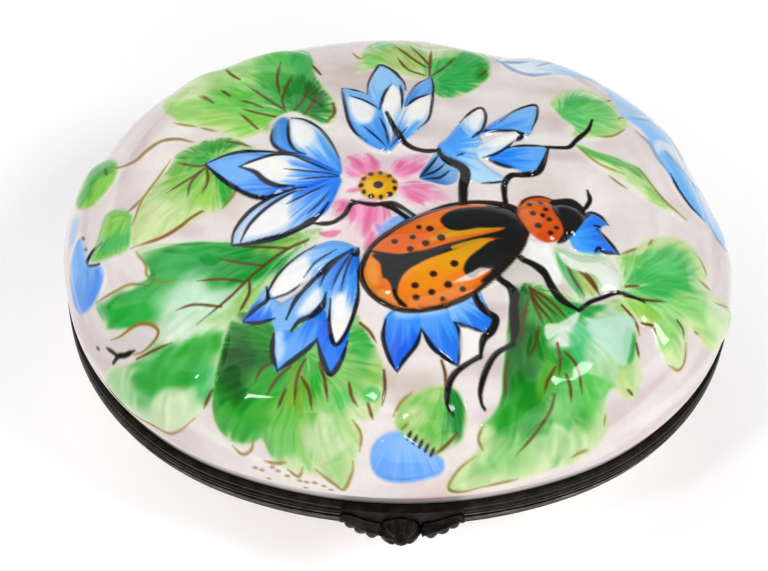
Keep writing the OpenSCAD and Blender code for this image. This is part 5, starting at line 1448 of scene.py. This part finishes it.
def clasp_scroll(name, side, node):
    """A scroll with a rolled upper edge and a scalloped lower one, on one side of the shell."""
    plate = HALF_L + PLATE_OUT
    columns = 15
    # The middle line of the scroll, out from the middle of the clasp and up
    spine = smooth_line([(2.3, 15.9), (3.6, 16.3), (4.8, 17), (5.9, 17.8), (6.8, 18.5)], per=15)
    turn = np.gradient(spine, axis=0)
    turn /= np.linalg.norm(turn, axis=1, keepdims=True)
    out = np.stack([turn[:, 1], -turn[:, 0]], -1)
    t = np.linspace(0, 1, len(spine))
    w = np.linspace(-1, 1, columns)[None, :]
    near_end = np.clip(1 - np.minimum(t / 0.16, (1 - t) / 0.14), 0, 1)
    half = (1.7 - 0.9 * t) * np.sqrt(1 - 0.8 * near_end ** 2)
    between = (1 - np.abs(np.sin(4 * math.pi * t)))[:, None] * (w > 0)
    place = spine[:, None, :] + out[:, None, :] * (w * (1 - 0.24 * between) * half[:, None])[..., None]
    place[..., 1] = np.clip(place[..., 1], plate_low[2] - 0.7, plate_high[2] + 0.12)
    roll = 0.5 * np.exp(-((w + 0.35) / 0.22) ** 2) + 0.28 * np.sqrt(np.clip(1 - w ** 2, 0, 1))
    raised = 0.12 + (roll + 0.14 - 0.2 * between) * (1 - 0.3 * t)[:, None]
    x = side * place[..., 0]
    shell = np.stack([x, front_y(x, plate) - raised, place[..., 1]], -1)
    back = np.stack([x, front_y(x, plate) + 0.06, place[..., 1]], -1)
    if side < 0:
        shell, back = shell[:, ::-1], back[:, ::-1]
    points, faces = relief(shell, back, len(spine), columns)
    new_piece(name, points, faces, BRASS, "lid", "dark_brass", [node])


def finish_nodes():
    """Materials for the CAD nodes that are shown as they are."""
    for name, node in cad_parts.items():
        node.data.materials.clear()
        node.data.materials.append(CEMENT if "cement" in name else BRASS)


# ---------------------------------------------------------------- floor, light and camera, in metres
FLOOR_HALF_WIDTH = 1.6
# The floor's section from front to back: it curves up behind the box
FLOOR_SECTION = [(-1.2, 0), (0.5, 0), (0.8, 0.03), (1.0, 0.12), (1.1, 0.3)]
# Soft boxes: name, place, size and power in watts
LAMPS = [("sky", (-0.42, 0.26, 0.66), (1.1, 1.1), 4.3), ("window", (0.33, -0.20, 0.45), (0.11, 0.16), 1.1),
    ("far_window", (-0.30, -0.28, 0.42), (0.05, 0.12), 0.5), ("fill", (0.18, -0.50, 0.28), (0.5, 0.4), 1.1)]
LAMPS_AIM = Vector((0, 0, 0.02))


def floor_piece():
    """A pale seamless floor that glows faintly, as the photo's white ground does."""
    made, tree, shader = material("floor")
    mottle = grain(tree, 6, 2)
    tint = ramp(tree, mottle.outputs["Fac"], [(0.3, (0.90, 0.895, 0.905)), (0.7, (0.94, 0.935, 0.94))])
    tree.links.new(tint.outputs["Color"], shader.inputs["Base Color"])
    set_inputs(shader, {"Roughness": 0.6, "Emission Color": (1, 0.985, 0.975, 1), "Emission Strength": 0.15})
    points = [(x / MM, y / MM, z / MM) for y, z in FLOOR_SECTION
              for x in (-FLOOR_HALF_WIDTH, FLOOR_HALF_WIDTH)]
    faces = [[2 * i, 2 * i + 1, 2 * i + 3, 2 * i + 2] for i in range(len(FLOOR_SECTION) - 1)]
    floor = new_piece("floor", points, faces, made)


def lights():
    """A white surround and soft boxes: a large one behind on the left, three smaller ones in front."""
    world = bpy.data.worlds.new("studio")
    world.use_nodes = True
    set_inputs(world.node_tree.nodes["Background"], {"Color": (1, 1, 1, 1), "Strength": 0.25})
    bpy.context.scene.world = world

    for name, place, size, power in LAMPS:
        lamp = bpy.data.lights.new(name, "AREA")
        lamp.shape = "RECTANGLE"
        lamp.size, lamp.size_y = size
        lamp.energy = power
        holder = bpy.data.objects.new(name, lamp)
        bpy.context.scene.collection.objects.link(holder)
        holder.location = place
        holder.rotation_euler = (LAMPS_AIM - Vector(place)).to_track_quat("-Z", "Y").to_euler()


def camera():
    """Above the front, turned and rolled by a degree or two."""
    look_at = Vector((-1.9, -3.4, 19.85)) * MM
    up, turn, roll, distance = math.radians(51.32), math.radians(-1.48), math.radians(1.63), 0.21
    away = Vector((math.sin(turn) * math.cos(up), -math.cos(turn) * math.cos(up), math.sin(up)))
    right = (-away).cross(Vector((0, 0, 1))).normalized()
    above = right.cross(-away)
    right, above = (math.cos(roll) * right + math.sin(roll) * above,
                    -math.sin(roll) * right + math.cos(roll) * above)
    lens = bpy.data.cameras.new("camera")
    lens.sensor_width = 36
    lens.lens = 82.3
    lens.clip_start = 0.01
    holder = bpy.data.objects.new("camera", lens)
    bpy.context.scene.collection.objects.link(holder)
    frame_of = Matrix((right, above, away)).transposed().to_4x4()
    holder.matrix_world = Matrix.Translation(look_at + away * distance) @ frame_of
    bpy.context.scene.camera = holder


finish_nodes()
lid_piece(painted_lid())
rim_pieces()
bowl_piece()
clasp_shell()
clasp_scroll("clasp_scroll_left", -1, "clasp_wing_left")
clasp_scroll("clasp_scroll_right", 1, "clasp_wing_right")
floor_piece()
lights()
camera()
bpy.context.scene.view_settings.view_transform = "Standard"
